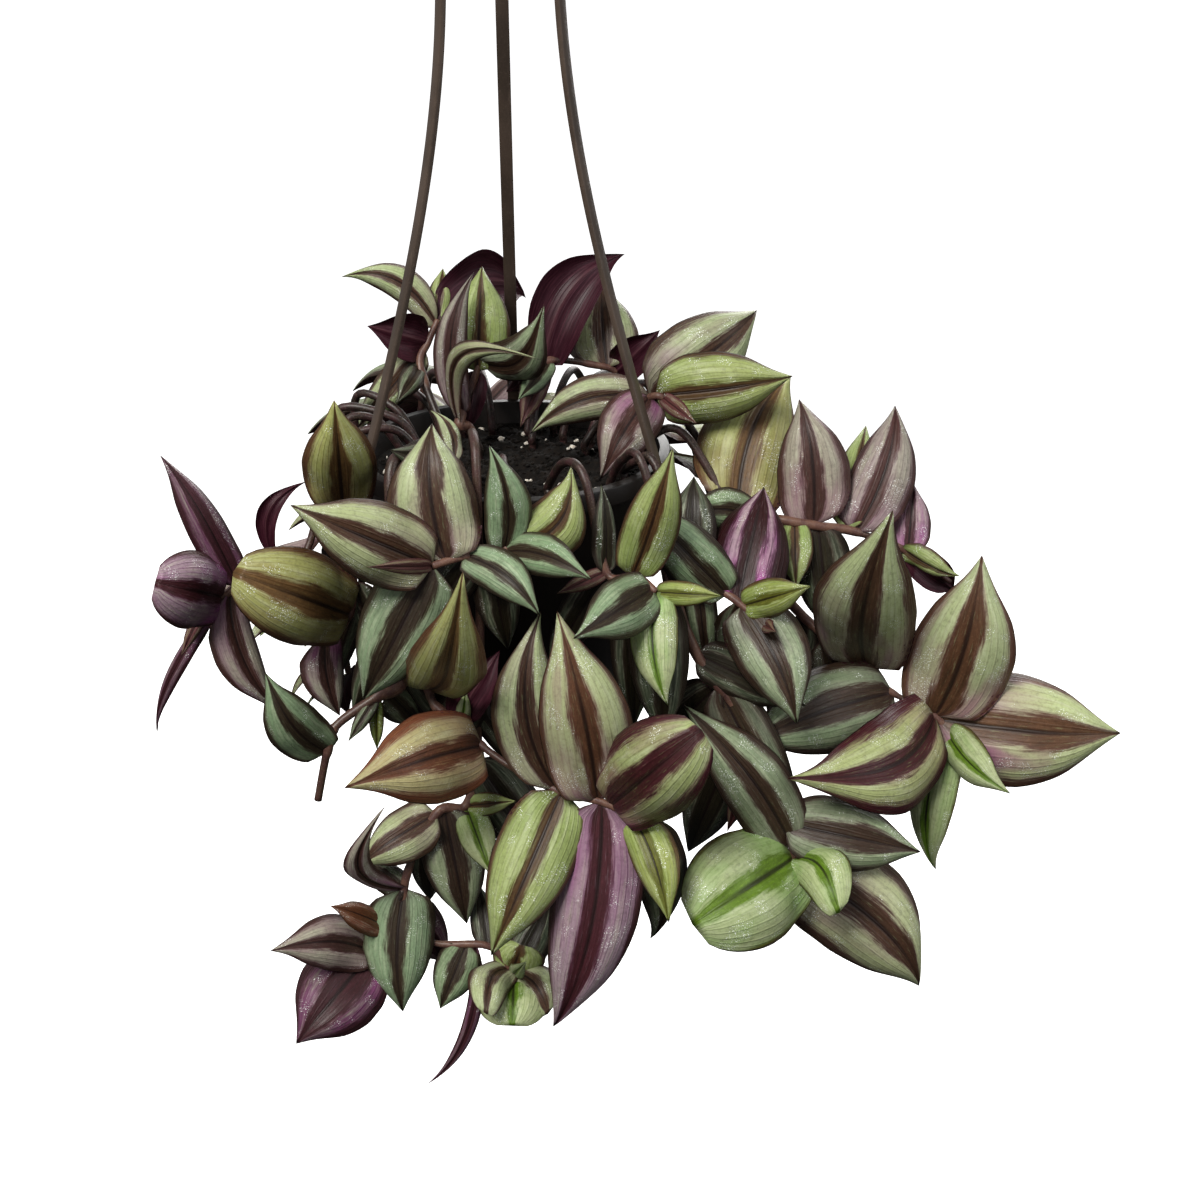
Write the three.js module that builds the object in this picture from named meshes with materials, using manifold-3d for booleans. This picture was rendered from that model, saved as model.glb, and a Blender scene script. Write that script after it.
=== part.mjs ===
import * as THREE from 'three';
import { mergeVertices } from 'three/addons/utils/BufferGeometryUtils.js';
import Module from 'manifold-3d';

// A trailing striped house plant in a round plastic pot that hangs by three flat straps from a hook.
// Millimetres, +Z up. The origin is the point inside the hook that rests on a rail or nail.
// The pot's axis is the Z axis, and -Y is the side of the plant that the photograph shows.

const wasm = await Module();
wasm.setup();

// Driving dimensions
const rimZ = -232; // top edge of the pot
const potHeight = 100;
const potRimRadius = 63.4;
const potBaseRadius = 44;
const potWall = 1.6;
const rimSkirt = { depth: 7, thick: 1.5, flange: 2.2 };
const soilBelowRim = 9;
const gap = 0.3; // between two pieces that touch on the real plant

const strap = { wide: 5, thick: 2.2, topRadius: 23.4, clampAboveRim: 185.6, angles: [210, 330, 90] };
const hook = { rod: 2.5, inner: 10, shankFoot: 44 };

// How the photograph sees the plant, in its 1200 pixel frame: used to set traced leaves at their place.
const view = { pitch: 24.65, yaw: 2.6, focal: 1500, distance: 602.7, rimX: 512.3, rimY: 445.2, middle: 600 };

// Vectors
const add = (a, b) => [a[0] + b[0], a[1] + b[1], a[2] + b[2]];
const sub = (a, b) => [a[0] - b[0], a[1] - b[1], a[2] - b[2]];
const times = (a, k) => [a[0] * k, a[1] * k, a[2] * k];
const dot = (a, b) => a[0] * b[0] + a[1] * b[1] + a[2] * b[2];
const cross = (a, b) => [a[1] * b[2] - a[2] * b[1], a[2] * b[0] - a[0] * b[2], a[0] * b[1] - a[1] * b[0]];
const size = (a) => Math.sqrt(dot(a, a));
const unit = (a) => times(a, 1 / size(a));
const radians = (degrees) => (degrees * Math.PI) / 180;

let seed = 4711;
function random() {
  seed = (seed * 16807) % 2147483647;
  return seed / 2147483647;
}
const between = (low, high) => low + (high - low) * random();

// The sight line through a pixel, and the point where it meets the upright plane at depth y
const sight = (() => {
  const pitch = radians(view.pitch);
  const yaw = radians(view.yaw);
  const ahead = [Math.sin(yaw) * Math.cos(pitch), Math.cos(yaw) * Math.cos(pitch), -Math.sin(pitch)];
  const right = [Math.cos(yaw), -Math.sin(yaw), 0];
  const up = cross(right, ahead);
  const ray = (px, py) => {
    const aside = (px - view.middle) / view.focal;
    const above = (view.middle - py) / view.focal;
    return add(ahead, add(times(right, aside), times(up, above)));
  };
  const eye = sub([0, 0, rimZ], times(ray(view.rimX, view.rimY), view.distance));
  const project = (point) => {
    const v = sub(point, eye);
    const depth = dot(v, ahead);
    return [
      view.middle + (view.focal * dot(v, right)) / depth,
      view.middle - (view.focal * dot(v, up)) / depth,
    ];
  };
  return { eye, ray, project };
})();

function seen([px, py, y]) {
  const ray = sight.ray(px, py);
  return add(sight.eye, times(ray, (y - sight.eye[1]) / ray[1]));
}

// Millimetres that one pixel spans at the point
const pixelSize = (point) => size(sub(point, sight.eye)) / view.focal;

// Traced leaves: base and tip in pixels, how far the tip lies behind the base, seen width in pixels. blunt:
// rounded outline. roll: degrees round the midrib. under: its lower face is seen. sway: bow to one side.
// away: in a crowd the tip may only move back.
const leaf = (base, tip, back, width, tone, more = {}) => ({ base, tip, back, width, tone, ...more });

// Stems that the photograph shows. hole: x, y in the soil. rise: x, y and height over the rim. trail: pixels
// and y.
const tracedStems = [
  {
    name: 'left_tip',
    hole: [-44, 4],
    rise: [[-55, 0, 12], [-69, -6, 8]],
    trail: [[306, 552, -26], [266, 556, -36], [230, 592, -44], [206, 604, -47]],
    leaves: [
      leaf([232, 580], [160, 455], 6, 40, 'purple', { roll: 20, arch: 0.1 }),
      leaf([222, 592], [155, 582], -22, 76, 'mauve', { arch: 0.16, blunt: true }),
      leaf([234, 598], [279, 711], -8, 48, 'silverPurple', { roll: -25, sway: 0.14 }),
      leaf([222, 598], [157, 734], 4, 17, 'purple', { roll: 30, arch: 0.1, sway: 0.02 }),
      leaf([206, 603], [181, 656], 0, 14, 'bud', { arch: 0.05 }),
      leaf([268, 546], [308, 481], 10, 21, 'maroon', { under: true, arch: 0.12, sway: 0.25 }),
    ],
  },
  {
    name: 'left_front',
    hole: [-34, -12],
    rise: [[-46, -14, 12], [-67, -20, 8]],
    trail: [[343, 507, -40], [352, 560, -47], [350, 615, -52], [326, 637, -56]],
    leaves: [
      leaf([352, 614], [233, 572], -34, 94, 'olive', { arch: 0.2, blunt: true }),
      leaf([341, 505], [334, 400], -16, 72, 'olive', { arch: 0.1 }),
      leaf([326, 640], [340, 716], -6, 46, 'silverPurple', { roll: -20, sway: 0.1 }),
      leaf([350, 580], [392, 664], -4, 40, 'dark', { roll: 20 }),
      leaf([351, 600], [312, 700], 6, 42, 'dull', { arch: 0.1 }),
    ],
  },
  {
    name: 'front_left',
    hole: [-4, -36],
    rise: [[-3, -50, 12], [-2, -67, 8]],
    trail: [[507, 548, -78], [465, 556, -84], [432, 566, -88]],
    leaves: [
      leaf([432, 566], [290, 505], -14, 82, 'silver', { arch: 0.15 }),
      leaf([432, 566], [366, 567], -20, 16, 'bud', {}),
      leaf([432, 568], [363, 700], 8, 84, 'cool', { arch: 0.12 }),
      leaf([444, 560], [432, 423], 8, 90, 'silver', { arch: 0.14, sway: -0.06 }),
      leaf([499, 547], [489, 445], 8, 48, 'cool', { arch: 0.1, sway: 0.09 }),
      leaf([512, 549], [571, 466], 0, 64, 'green', { arch: 0.1, sway: 0.24 }),
      leaf([467, 557], [540, 616], -18, 46, 'cool', { arch: 0.12, sway: -0.1 }),
      leaf([507, 556], [592, 580], -16, 44, 'cool', { arch: 0.1, sway: -0.08 }),
      leaf([490, 551], [508, 650], 8, 46, 'dark', { arch: 0.1, away: true }),
      leaf([474, 556], [414, 632], 8, 42, 'dark', { arch: 0.1, away: true }),
    ],
  },
  {
    name: 'rosette',
    hole: [-18, -32],
    rise: [[-21, -48, 10], [-24, -64, 8]],
    trail: [
      [446, 600, -74], [429, 690, -78], [455, 721, -84], [482, 746, -91], [520, 772, -99], [562, 792, -106],
      [602, 802, -110], [632, 816, -113],
    ],
    leaves: [
      leaf([438, 691], [463, 571], -34, 78, 'olive', { arch: 0.14, sway: 0.04 }),
      leaf([461, 726], [466, 690], -4, 16, 'bright', {}),
      leaf([480, 751], [344, 788], -12, 92, 'orange', { arch: 0.16, sway: 0.02 }),
      leaf([596, 799], [557, 611], 6, 94, 'light', { arch: 0.14, sway: 0.02 }),
      leaf([556, 788], [541, 611], 20, 72, 'silver', { arch: 0.12, sway: -0.13 }),
      leaf([614, 804], [702, 730], -8, 98, 'wine', { arch: 0.16, blunt: true }),
      leaf([603, 804], [553, 1027], -10, 88, 'mauve', { arch: 0.12, sway: -0.06 }),
      leaf([560, 793], [491, 956], -4, 80, 'green', { arch: 0.13 }),
      leaf([631, 816], [669, 923], -12, 48, 'young', { roll: 15, arch: 0.1, sway: -0.08 }),
      leaf([630, 816], [650, 939], 14, 56, 'dull', { roll: -10, sway: -0.12 }),
      leaf([454, 460], [430, 410], 14, 24, 'silver', { arch: 0.12, roll: 30, sway: 0.15 }),
      leaf([456, 470], [390, 450], 10, 44, 'dark', { arch: 0.12 }),
      leaf([455, 721], [500, 650], 8, 40, 'maroon', { under: true, arch: 0.1, away: true }),
    ],
  },
  {
    name: 'lower_left',
    hole: [-14, -22],
    rise: [[-14, -44, 20], [-12, -66, 14]],
    trail: [
      [480, 640, -74], [476, 760, -76], [466, 806, -80], [436, 814, -84], [404, 889, -92], [428, 940, -95],
      [488, 946, -97], [514, 974, -99],
    ],
    leaves: [
      leaf([436, 812], [359, 866], -10, 55, 'silver', { arch: 0.12, roll: 15 }),
      leaf([444, 812], [467, 924], -6, 62, 'silverDark', { arch: 0.12 }),
      leaf([466, 808], [516, 801], -10, 24, 'green', {}),
      leaf([466, 808], [492, 876], -22, 36, 'bright', { arch: 0.12 }),
      leaf([479, 690], [548, 778], 8, 50, 'dark', { arch: 0.1 }),
      leaf([478, 700], [404, 782], 8, 52, 'dark', { arch: 0.1 }),
      leaf([476, 764], [556, 872], 8, 62, 'dark', { arch: 0.1 }),
      leaf([402, 891], [386, 805], -16, 29, 'silverPurple', { arch: 0.1, sway: -0.29 }),
      leaf([404, 889], [403, 1012], -8, 72, 'cool', { arch: 0.12, sway: 0.05 }),
      leaf([410, 900], [446, 962], 10, 46, 'purple', { arch: 0.1 }),
      leaf([468, 950], [440, 1009], -4, 44, 'cool', { arch: 0.12 }),
      leaf([474, 962], [426, 1085], -2, 15, 'purple', { arch: 0.06, sway: -0.12 }),
      leaf([514, 978], [512, 1026], -30, 68, 'bright', { arch: 0.16, blunt: true }),
      leaf([510, 966], [486, 1014], -20, 42, 'silver', { arch: 0.16, sway: 0.16, blunt: true }),
      leaf([514, 972], [522, 945], -4, 54, 'green', { arch: 0.12, blunt: true }),
      leaf([518, 966], [548, 1014], -20, 42, 'silver', { arch: 0.16, sway: -0.16, blunt: true }),
      leaf([514, 976], [527, 961], -24, 18, 'bright', {}),
      leaf([488, 946], [479, 884], 14, 28, 'dark', { arch: 0.1, away: true }),
      leaf([430, 828], [430, 900], 10, 36, 'dark', { arch: 0.1, away: true }),
      leaf([404, 889], [362, 862], 8, 30, 'dull', { arch: 0.1, away: true }),
      leaf([514, 974], [552, 898], 14, 42, 'dark', { arch: 0.1, away: true }),
    ],
  },
  {
    name: 'lower_tip',
    from: 'lower_left',
    trail: [[404, 889, -92], [386, 926, -96], [368, 957, -98]],
    leaves: [
      leaf([369, 950], [270, 951], -14, 54, 'silverPurple', { arch: 0.14, sway: 0.08 }),
      leaf([369, 957], [296, 1044], -4, 84, 'purple', { arch: 0.14 }),
      leaf([386, 926], [330, 906], -6, 30, 'dried', { roll: 20 }),
    ],
  },
  {
    name: 'cut_stem',
    hole: [-28, -24],
    rise: [[-34, -38, 10], [-44, -54, 8]],
    trail: [
      [404, 610, -70], [402, 680, -73], [376, 697, -77], [336, 726, -83], [327, 752, -86], [318, 800, -88],
    ],
    thick: 2.3,
    leaves: [
      leaf([327, 752], [265, 672], -8, 54, 'cool', { arch: 0.14, sway: -0.09 }),
      leaf([376, 697], [348, 742], -10, 16, 'dull', { arch: 0.1 }),
      leaf([378, 697], [377, 750], -4, 15, 'young', { arch: 0.1 }),
      leaf([403, 650], [466, 738], 8, 50, 'dark', { arch: 0.1 }),
      leaf([404, 622], [352, 716], 6, 48, 'dark', { arch: 0.1 }),
      leaf([386, 692], [418, 722], 8, 40, 'dull', { arch: 0.1, away: true }),
    ],
  },
  {
    name: 'front_right',
    hole: [14, -36],
    rise: [[20, -50, 10], [27, -63, 8]],
    trail: [[606, 572, -73], [636, 576, -79], [656, 592, -84]],
    leaves: [
      leaf([634, 566], [673, 448], -6, 57, 'green', { arch: 0.1, sway: 0.02 }),
      leaf([606, 573], [601, 484], 10, 30, 'dark', { roll: 30 }),
      leaf([653, 588], [573, 639], -14, 62, 'cool', { arch: 0.12 }),
      leaf([656, 594], [668, 706], -26, 50, 'bright', { arch: 0.12, roll: 10, sway: 0.06 }),
      leaf([656, 592], [722, 596], -14, 26, 'young', { arch: 0.1 }),
      leaf([606, 573], [556, 594], -8, 18, 'bud', {}),
      leaf([636, 577], [634, 728], 10, 50, 'dark', { arch: 0.1, away: true }),
      leaf([654, 590], [664, 742], 22, 60, 'dark', { arch: 0.1 }),
      leaf([606, 573], [548, 664], 8, 44, 'dark', { arch: 0.1 }),
    ],
  },
  {
    name: 'right_front',
    hole: [44, -20],
    rise: [[48, -33, 4], [54, -42, 6]],
    trail: [[690, 560, -58], [738, 602, -70], [764, 624, -76]],
    leaves: [
      leaf([728, 594], [656, 521], -6, 60, 'cool', { arch: 0.12, blunt: true }),
      leaf([742, 600], [764, 487], 8, 82, 'magenta', { arch: 0.1 }),
      leaf([742, 608], [797, 724], -10, 76, 'silverDark', { arch: 0.14, sway: -0.06 }),
      leaf([738, 608], [811, 586], -12, 40, 'young', { arch: 0.1 }),
      leaf([764, 624], [776, 632], -16, 16, 'bud', {}),
      leaf([700, 570], [708, 673], -14, 34, 'silverDark', { arch: 0.1 }),
      leaf([690, 560], [694, 476], 16, 50, 'dark', { arch: 0.1 }),
      leaf([738, 602], [734, 734], 6, 52, 'dull', { arch: 0.1 }),
    ],
  },
  {
    name: 'right_upper',
    hole: [42, -6],
    rise: [[54, -8, 5], [68, -9, 7]],
    trail: [
      [738, 514, -26], [780, 520, -32], [818, 526, -34], [856, 532, -34], [908, 552, -34], [950, 582, -35],
    ],
    leaves: [
      leaf([734, 512], [791, 376], 8, 98, 'olive', { arch: 0.12, sway: -0.1 }),
      leaf([815, 524], [799, 399], 10, 72, 'silverPurple', { arch: 0.12, sway: 0.05 }),
      leaf([858, 528], [895, 405], 10, 65, 'silverPurple', { arch: 0.12, sway: 0.07 }),
      leaf([846, 530], [866, 425], 24, 40, 'green', { arch: 0.1 }),
      leaf([908, 550], [914, 484], 12, 40, 'mauve', { arch: 0.1 }),
      leaf([900, 548], [960, 576], -14, 30, 'green', { roll: 40, arch: 0.1 }),
      leaf([796, 522], [796, 590], -16, 36, 'green', { arch: 0.12 }),
      leaf([820, 526], [830, 636], 8, 56, 'dark', { arch: 0.1 }),
      leaf([758, 518], [680, 517], -10, 46, 'cool', { arch: 0.1, sway: 0.12 }),
      leaf([906, 552], [954, 590], 6, 34, 'maroon', { under: true, arch: 0.1, away: true }),
    ],
  },
  {
    name: 'right_tip',
    hole: [46, 12],
    rise: [[56, 10, 10], [70, 6, 8]],
    trail: [[780, 590, -20], [866, 667, -44], [888, 690, -50], [935, 716, -58], [947, 734, -61]],
    leaves: [
      leaf([868, 668], [893, 510], -20, 102, 'silver', { arch: 0.12, sway: -0.05 }),
      leaf([888, 696], [739, 746], -18, 88, 'silverDark', { arch: 0.14, sway: 0.03 }),
      leaf([936, 718], [787, 778], -22, 96, 'wine', { arch: 0.14, sway: -0.14 }),
      leaf([937, 722], [1121, 733], -8, 110, 'light', { arch: 0.14, sway: 0.03 }),
      leaf([934, 714], [982, 555], 4, 99, 'light', { arch: 0.13, sway: 0.05 }),
      leaf([946, 732], [936, 870], -10, 48, 'bright', { arch: 0.16, roll: 25, sway: 0.03 }),
      leaf([946, 733], [1011, 794], -26, 42, 'bright', { arch: 0.16, roll: 20 }),
      leaf([802, 608], [768, 716], 6, 54, 'dark', { arch: 0.1 }),
      leaf([830, 632], [858, 760], 6, 56, 'dull', { arch: 0.1 }),
    ],
  },
  {
    name: 'right_low',
    hole: [38, -32],
    rise: [[42, -42, 8], [49, -56, 9]],
    trail: [[690, 640, -74], [744, 720, -80], [774, 790, -88], [793, 852, -95], [797, 882, -97]],
    leaves: [
      leaf([793, 858], [692, 924], -22, 114, 'bright', { arch: 0.18, blunt: true }),
      leaf([797, 870], [919, 986], -6, 101, 'silver', { arch: 0.14, sway: -0.09 }),
      leaf([795, 857], [839, 913], -24, 52, 'bright', { arch: 0.2, sway: -0.16, blunt: true }),
      leaf([784, 826], [921, 852], 6, 70, 'silverDark', { arch: 0.12 }),
      leaf([795, 846], [682, 704], -10, 72, 'silverDark', { arch: 0.12, sway: 0.05 }),
      leaf([758, 750], [727, 832], -6, 24, 'bud', {}),
      leaf([716, 682], [796, 838], 2, 62, 'dull', { arch: 0.12 }),
      leaf([720, 690], [632, 764], 10, 56, 'dark', { arch: 0.1 }),
      leaf([744, 722], [688, 852], 10, 60, 'dark', { arch: 0.1, away: true }),
      leaf([702, 658], [806, 706], 12, 50, 'dark', { arch: 0.1 }),
    ],
  },
  {
    name: 'top_right',
    hole: [30, 14],
    rise: [[38, 14, 6]],
    trail: [[650, 397, -6], [664, 398, -9]],
    leaves: [
      leaf([656, 399], [793, 376], -6, 72, 'green', { arch: 0.12, roll: 10 }),
      leaf([650, 397], [757, 310], 20, 82, 'silver', { arch: 0.16, roll: 10, away: true }),
      leaf([652, 400], [600, 480], -40, 60, 'silverPurple', { arch: 0.26, sway: 0.04 }),
      leaf([648, 398], [530, 434], -12, 46, 'silver', { arch: 0.14, sway: 0.13 }),
      leaf([662, 398], [697, 424], -18, 18, 'bud', {}),
    ],
  },
  {
    name: 'top_back',
    hole: [8, 24],
    rise: [[10, 34, 8]],
    trail: [[545, 362, 36], [600, 366, 42], [616, 372, 44]],
    leaves: [
      leaf([606, 372], [602, 284], -8, 70, 'silver', { arch: 0.1, sway: -0.02 }),
      leaf([545, 360], [625, 254], 22, 58, 'maroon', { under: true, arch: 0.12, sway: 0.16, away: true }),
      leaf([545, 362], [506, 392], -6, 32, 'maroon', { arch: 0.12 }),
      leaf([548, 362], [518, 400], -22, 26, 'cool', { arch: 0.04 }),
      leaf([545, 362], [520, 428], -36, 26, 'bud', {}),
      leaf([616, 372], [660, 330], 0, 38, 'maroon', { under: true, arch: 0.1 }),
    ],
  },
  {
    name: 'top_left',
    hole: [-14, 10],
    rise: [[-18, 12, 4]],
    trail: [[459, 424, 8], [470, 392, 20], [480, 362, 30]],
    leaves: [
      leaf([459, 424], [541, 360], -16, 26, 'silver', { arch: 0.12, sway: -0.42 }),
      leaf([470, 368], [482, 266], -4, 62, 'green', { arch: 0.1 }),
      leaf([456, 412], [474, 272], 16, 34, 'silverPurple', { arch: 0.1, sway: -0.12 }),
      leaf([500, 362], [544, 304], -30, 50, 'silverDark', { arch: 0.12, sway: 0.2 }),
      leaf([476, 372], [466, 436], -14, 26, 'maroon', { under: true, arch: 0.1 }),
    ],
  },
  {
    name: 'back_left',
    hole: [-26, 12],
    rise: [[-31, 22, 6]],
    trail: [[420, 366, 34], [428, 342, 40], [438, 320, 44]],
    leaves: [
      leaf([438, 324], [341, 277], 8, 34, 'silver', { arch: 0.12, sway: 0.2 }),
      leaf([428, 342], [367, 326], -10, 46, 'maroon', { under: true, arch: 0.1 }),
      leaf([438, 322], [443, 268], 6, 26, 'green', { arch: 0.1 }),
      leaf([420, 366], [396, 404], -20, 24, 'dull', { arch: 0.14 }),
      leaf([424, 350], [356, 430], 4, 36, 'silver', { arch: 0.14 }),
      leaf([438, 320], [526, 298], 28, 62, 'maroon', { under: true, arch: 0.1, sway: 0.2, away: true }),
    ],
  },
];

// Stems of the sides and the back, which the photograph doesn't show. angle: degrees round the pot from +X.
// hole: the hole's distance from the axis. swing, drop, reach: how far the stem swings round, hangs under
// the rim and stands out from the axis at its end. start: where its leaves begin.
const hiddenStems = [
  { angle: 36, hole: 40, swing: 9, drop: 90, reach: 100, start: 70 },
  { angle: 54, hole: 36, swing: -6, drop: 130, reach: 112 },
  { angle: 67, hole: 44, swing: 5, drop: 65, reach: 134, start: 66 },
  { angle: 80, hole: 36, swing: 14, drop: 165, reach: 104 },
  { angle: 103, hole: 40, swing: -8, drop: 80, reach: 130 },
  { angle: 119, hole: 44, swing: 10, drop: 140, reach: 108, start: 66 },
  { angle: 138, hole: 40, swing: 5, drop: 105, reach: 110, start: 70 },
  { angle: 155, hole: 44, swing: -6, drop: 125, reach: 80, start: 114 },
  { angle: 170, hole: 38, swing: 4, drop: 105, reach: 74, start: 112 },
  { angle: 20, hole: 42, swing: -9, drop: 130, reach: 106, start: 76 },
];

// Growth: each stem becomes a smooth path, and each leaf a midrib from the path with a facing and a width

// Catmull-Rom through the points
function smooth(points, perSpan) {
  const line = [];
  for (let i = 0; i + 1 < points.length; i += 1) {
    const a = points[Math.max(i - 1, 0)];
    const b = points[i];
    const c = points[i + 1];
    const d = points[Math.min(i + 2, points.length - 1)];
    for (let k = 0; k < perSpan; k += 1) {
      const t = k / perSpan;
      line.push(
        [0, 1, 2].map(
          (j) =>
            0.5 *
            (2 * b[j] +
              (c[j] - a[j]) * t +
              (2 * a[j] - 5 * b[j] + 4 * c[j] - d[j]) * t * t +
              (3 * b[j] - a[j] - 3 * c[j] + d[j]) * t * t * t),
        ),
      );
    }
  }
  line.push(points[points.length - 1]);
  return line;
}

const stemRadius = 1.7;
const finePerSpan = 8;
const soilTop = rimZ - soilBelowRim;
const rootDepth = 14;

const rootSpans = 3;

const rooted = (hole) => [
  [hole[0], hole[1], soilTop - rootDepth],
  [hole[0], hole[1], soilTop - rootDepth / 2],
  [hole[0], hole[1], soilTop + 1],
  [hole[0], hole[1], soilTop + 5],
];

function turned(vector, axis, angle) {
  const c = Math.cos(angle);
  const s = Math.sin(angle);
  return add(add(times(vector, c), times(cross(axis, vector), s)), times(axis, dot(axis, vector) * (1 - c)));
}

// A leaf ready to be shaped: base, tip, facing (unit, off the upper side), half width and bends
function makeBlade(base, tip, facing, width, tone, more) {
  const axis = unit(sub(tip, base));
  const flat = unit(sub(facing, times(axis, dot(facing, axis))));
  const rolled = turned(flat, axis, radians(more.roll || 0));
  return {
    base,
    tip,
    facing: more.under ? times(rolled, -1) : rolled,
    half: width / 2,
    tone,
    arch: (more.arch || 0.08) * (more.under ? -1 : 1),
    sway: more.sway || 0,
    curl: more.curl || 0.35,
    blunt: more.blunt || false, away: more.away || false,
    push: more.push,
  };
}

const leafRatio = 1.9; // length over width of a grown leaf
const longestLeaf = 72;
const tiltShare = 0.8; // of the depth that such a leaf's missing length asks for

// A traced leaf shorter in the photograph than its width asks for leans away if it points up, else forwards
function tracedBlade(item, path) {
  let nearest = path[0];
  let least = Infinity;
  for (const point of path) {
    const [px, py] = sight.project(point);
    const away = Math.hypot(px - item.base[0], py - item.base[1]);
    if (away < least) {
      least = away;
      nearest = point;
    }
  }
  const flatTip = seen([item.tip[0], item.tip[1], nearest[1] + item.back]);
  const seenLength = size(sub(flatTip, nearest));
  const likelyLength = Math.min(longestLeaf, leafRatio * item.width * pixelSize(nearest));
  const plain = !item.under && !item.roll && !item.blunt && item.width > 40;
  const hiddenDepth = plain ? Math.sqrt(Math.max(0, likelyLength ** 2 - seenLength ** 2)) : 0;
  const rise = item.base[1] - item.tip[1];
  const pointsUp = rise > 0.3 * Math.hypot(item.base[0] - item.tip[0], rise);
  const back = item.back + hiddenDepth * (pointsUp ? tiltShare : -tiltShare);
  const tip = seen([item.tip[0], item.tip[1], nearest[1] + back]);
  const middle = times(add(nearest, tip), 0.5);
  const toViewer = unit(sub(sight.eye, middle));
  const width = item.width * pixelSize(middle);
  const push = unit(sub(tip, sight.eye)); // the way in which the tip may move unseen
  return makeBlade(nearest, tip, toViewer, width, item.tone, { ...item, push });
}

const leafStep = 21; // along a hidden stem, from leaf to leaf
const up = [0, 0, 1];

function hiddenPath({ angle, hole, swing, drop, reach }) {
  const out = (r, share) => {
    const turn = radians(angle + swing * share);
    return [r * Math.cos(turn), r * Math.sin(turn)];
  };
  const points = rooted(out(hole, 0));
  const pass = (r, z, share) => points.push([...out(r, share), rimZ + z]);
  const beyond = reach - potRimRadius;
  pass(hole + 9, 9, 0);
  pass(potRimRadius + 8, 12, 0.1);
  pass(potRimRadius + Math.max(11, beyond * 0.45), -drop * 0.14, 0.3);
  pass(potRimRadius + Math.max(15, beyond * 0.8), -drop * 0.5, 0.6);
  pass(reach, -drop, 1);
  return points;
}

// Alternate leaves along a stem that the photograph doesn't show, smaller towards its tip
function hiddenBlades(path, start) {
  const blades = [];
  let walked = 0;
  let next = start;
  let side = random() < 0.5 ? 1 : -1;
  let whole = 0;
  for (let i = 1; i < path.length; i += 1) {
    whole += size(sub(path[i], path[i - 1]));
  }
  for (let i = 1; i < path.length; i += 1) {
    walked += size(sub(path[i], path[i - 1]));
    if (walked >= next || i === path.length - 1) {
      const atEnd = i === path.length - 1;
      const along = unit(sub(path[i], path[i - 1]));
      const outward = unit([path[i][0], path[i][1], 0]);
      const across = cross(up, outward);
      const left = whole - walked;
      const long = Math.min(66, 34 + left * 0.45) * between(0.88, 1.1);
      const aim = unit(
        add(
          add(times(across, side * between(0.75, 1)), times(outward, between(0.45, 0.8))),
          add(times(along, atEnd ? 1.3 : between(0.1, 0.4)), times(up, between(-0.35, 0.15))),
        ),
      );
      const tip = add(path[i], times(aim, long));
      const facing = unit(add(times(outward, between(0.35, 0.7)), times(up, 0.8)));
      const tone = hiddenTones[Math.floor(random() * hiddenTones.length)];
      const bend = { roll: between(-14, 14), arch: between(0.1, 0.17), sway: between(-0.06, 0.06) };
      const blade = makeBlade(path[i], tip, facing, long * between(0.42, 0.5), tone, bend);
      blade.push = blade.facing;
      blade.shape = 'plain';
      blades.push(blade);
      side = -side;
      next = walked + leafStep * between(0.9, 1.2);
    }
  }
  return blades;
}
const firstLeaf = 48; // millimetres along a hidden stem
const hiddenTones = ['silver', 'green', 'silverDark', 'silverPurple', 'light', 'dull'];

// Leaf form. u runs from base to tip and v from edge to edge: broadest at a third, with a clasping base
const widest = 0.347; // the pointed outline's own peak
const widestBlunt = 0.5; // the same for a leaf whose tip curls under
const outline = (u, blunt) => {
  const blade = blunt
    ? Math.sqrt(u * (1 - u)) / widestBlunt
    : (Math.pow(u, 0.6) * (1 - u)) / widest;
  const claspingBase = 0.3 * Math.pow(1 - u, 6);
  return Math.min(1, blade + claspingBase);
};

function bladePoint(blade, u, v) {
  const run = sub(blade.tip, blade.base);
  const long = size(run);
  const side = cross(unit(run), blade.facing);
  const bulge = 4 * u * (1 - u);
  const lift = blade.arch * long * bulge * (1 + blade.curl * (2 * u - 1));
  const half = blade.half * outline(u, blade.blunt);
  const crown = 0.34 * Math.max(-1, Math.min(1, 8 * u - 1));
  const spine = add(blade.base, times(run, u));
  const middle = add(add(spine, times(blade.facing, lift)), times(side, blade.sway * long * bulge));
  return add(middle, add(times(side, v * half), times(blade.facing, -crown * half * v * v)));
}

// Space already taken, in small cubes, so that a new leaf can be bent clear of other stems
const cube = 3.6;
const taken = new Map();
const cubeOf = (point) => point.map((value) => Math.floor(value / cube));
const neighbours = [[0, 0, 0], [1, 0, 0], [-1, 0, 0], [0, 1, 0], [0, -1, 0], [0, 0, 1], [0, 0, -1]];

function take(point, group, leafNumber) {
  const key = cubeOf(point).join(' ');
  if (!taken.has(key)) {
    taken.set(key, { group, leafNumber });
  }
}

// The pot with its rim and soil, seen as one turned solid with a margin
function inPot(point) {
  const margin = 2.2;
  const rimInside = potRimRadius - 6;
  const crumbs = 2;
  const r = Math.hypot(point[0], point[1]);
  const z = point[2] - rimZ;
  if (z > margin || z < -potHeight - margin) {
    return false;
  }
  if (z > -rimSkirt.depth - margin && r > rimInside) {
    return r < potRimRadius + margin;
  }
  if (z > -soilBelowRim + margin + crumbs) {
    return false;
  }
  const wallRadius = potBaseRadius + ((potRimRadius - 2 - potBaseRadius) * (z + potHeight)) / potHeight;
  return r < wallRadius + margin;
}

const sampleStep = 3.2;

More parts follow.
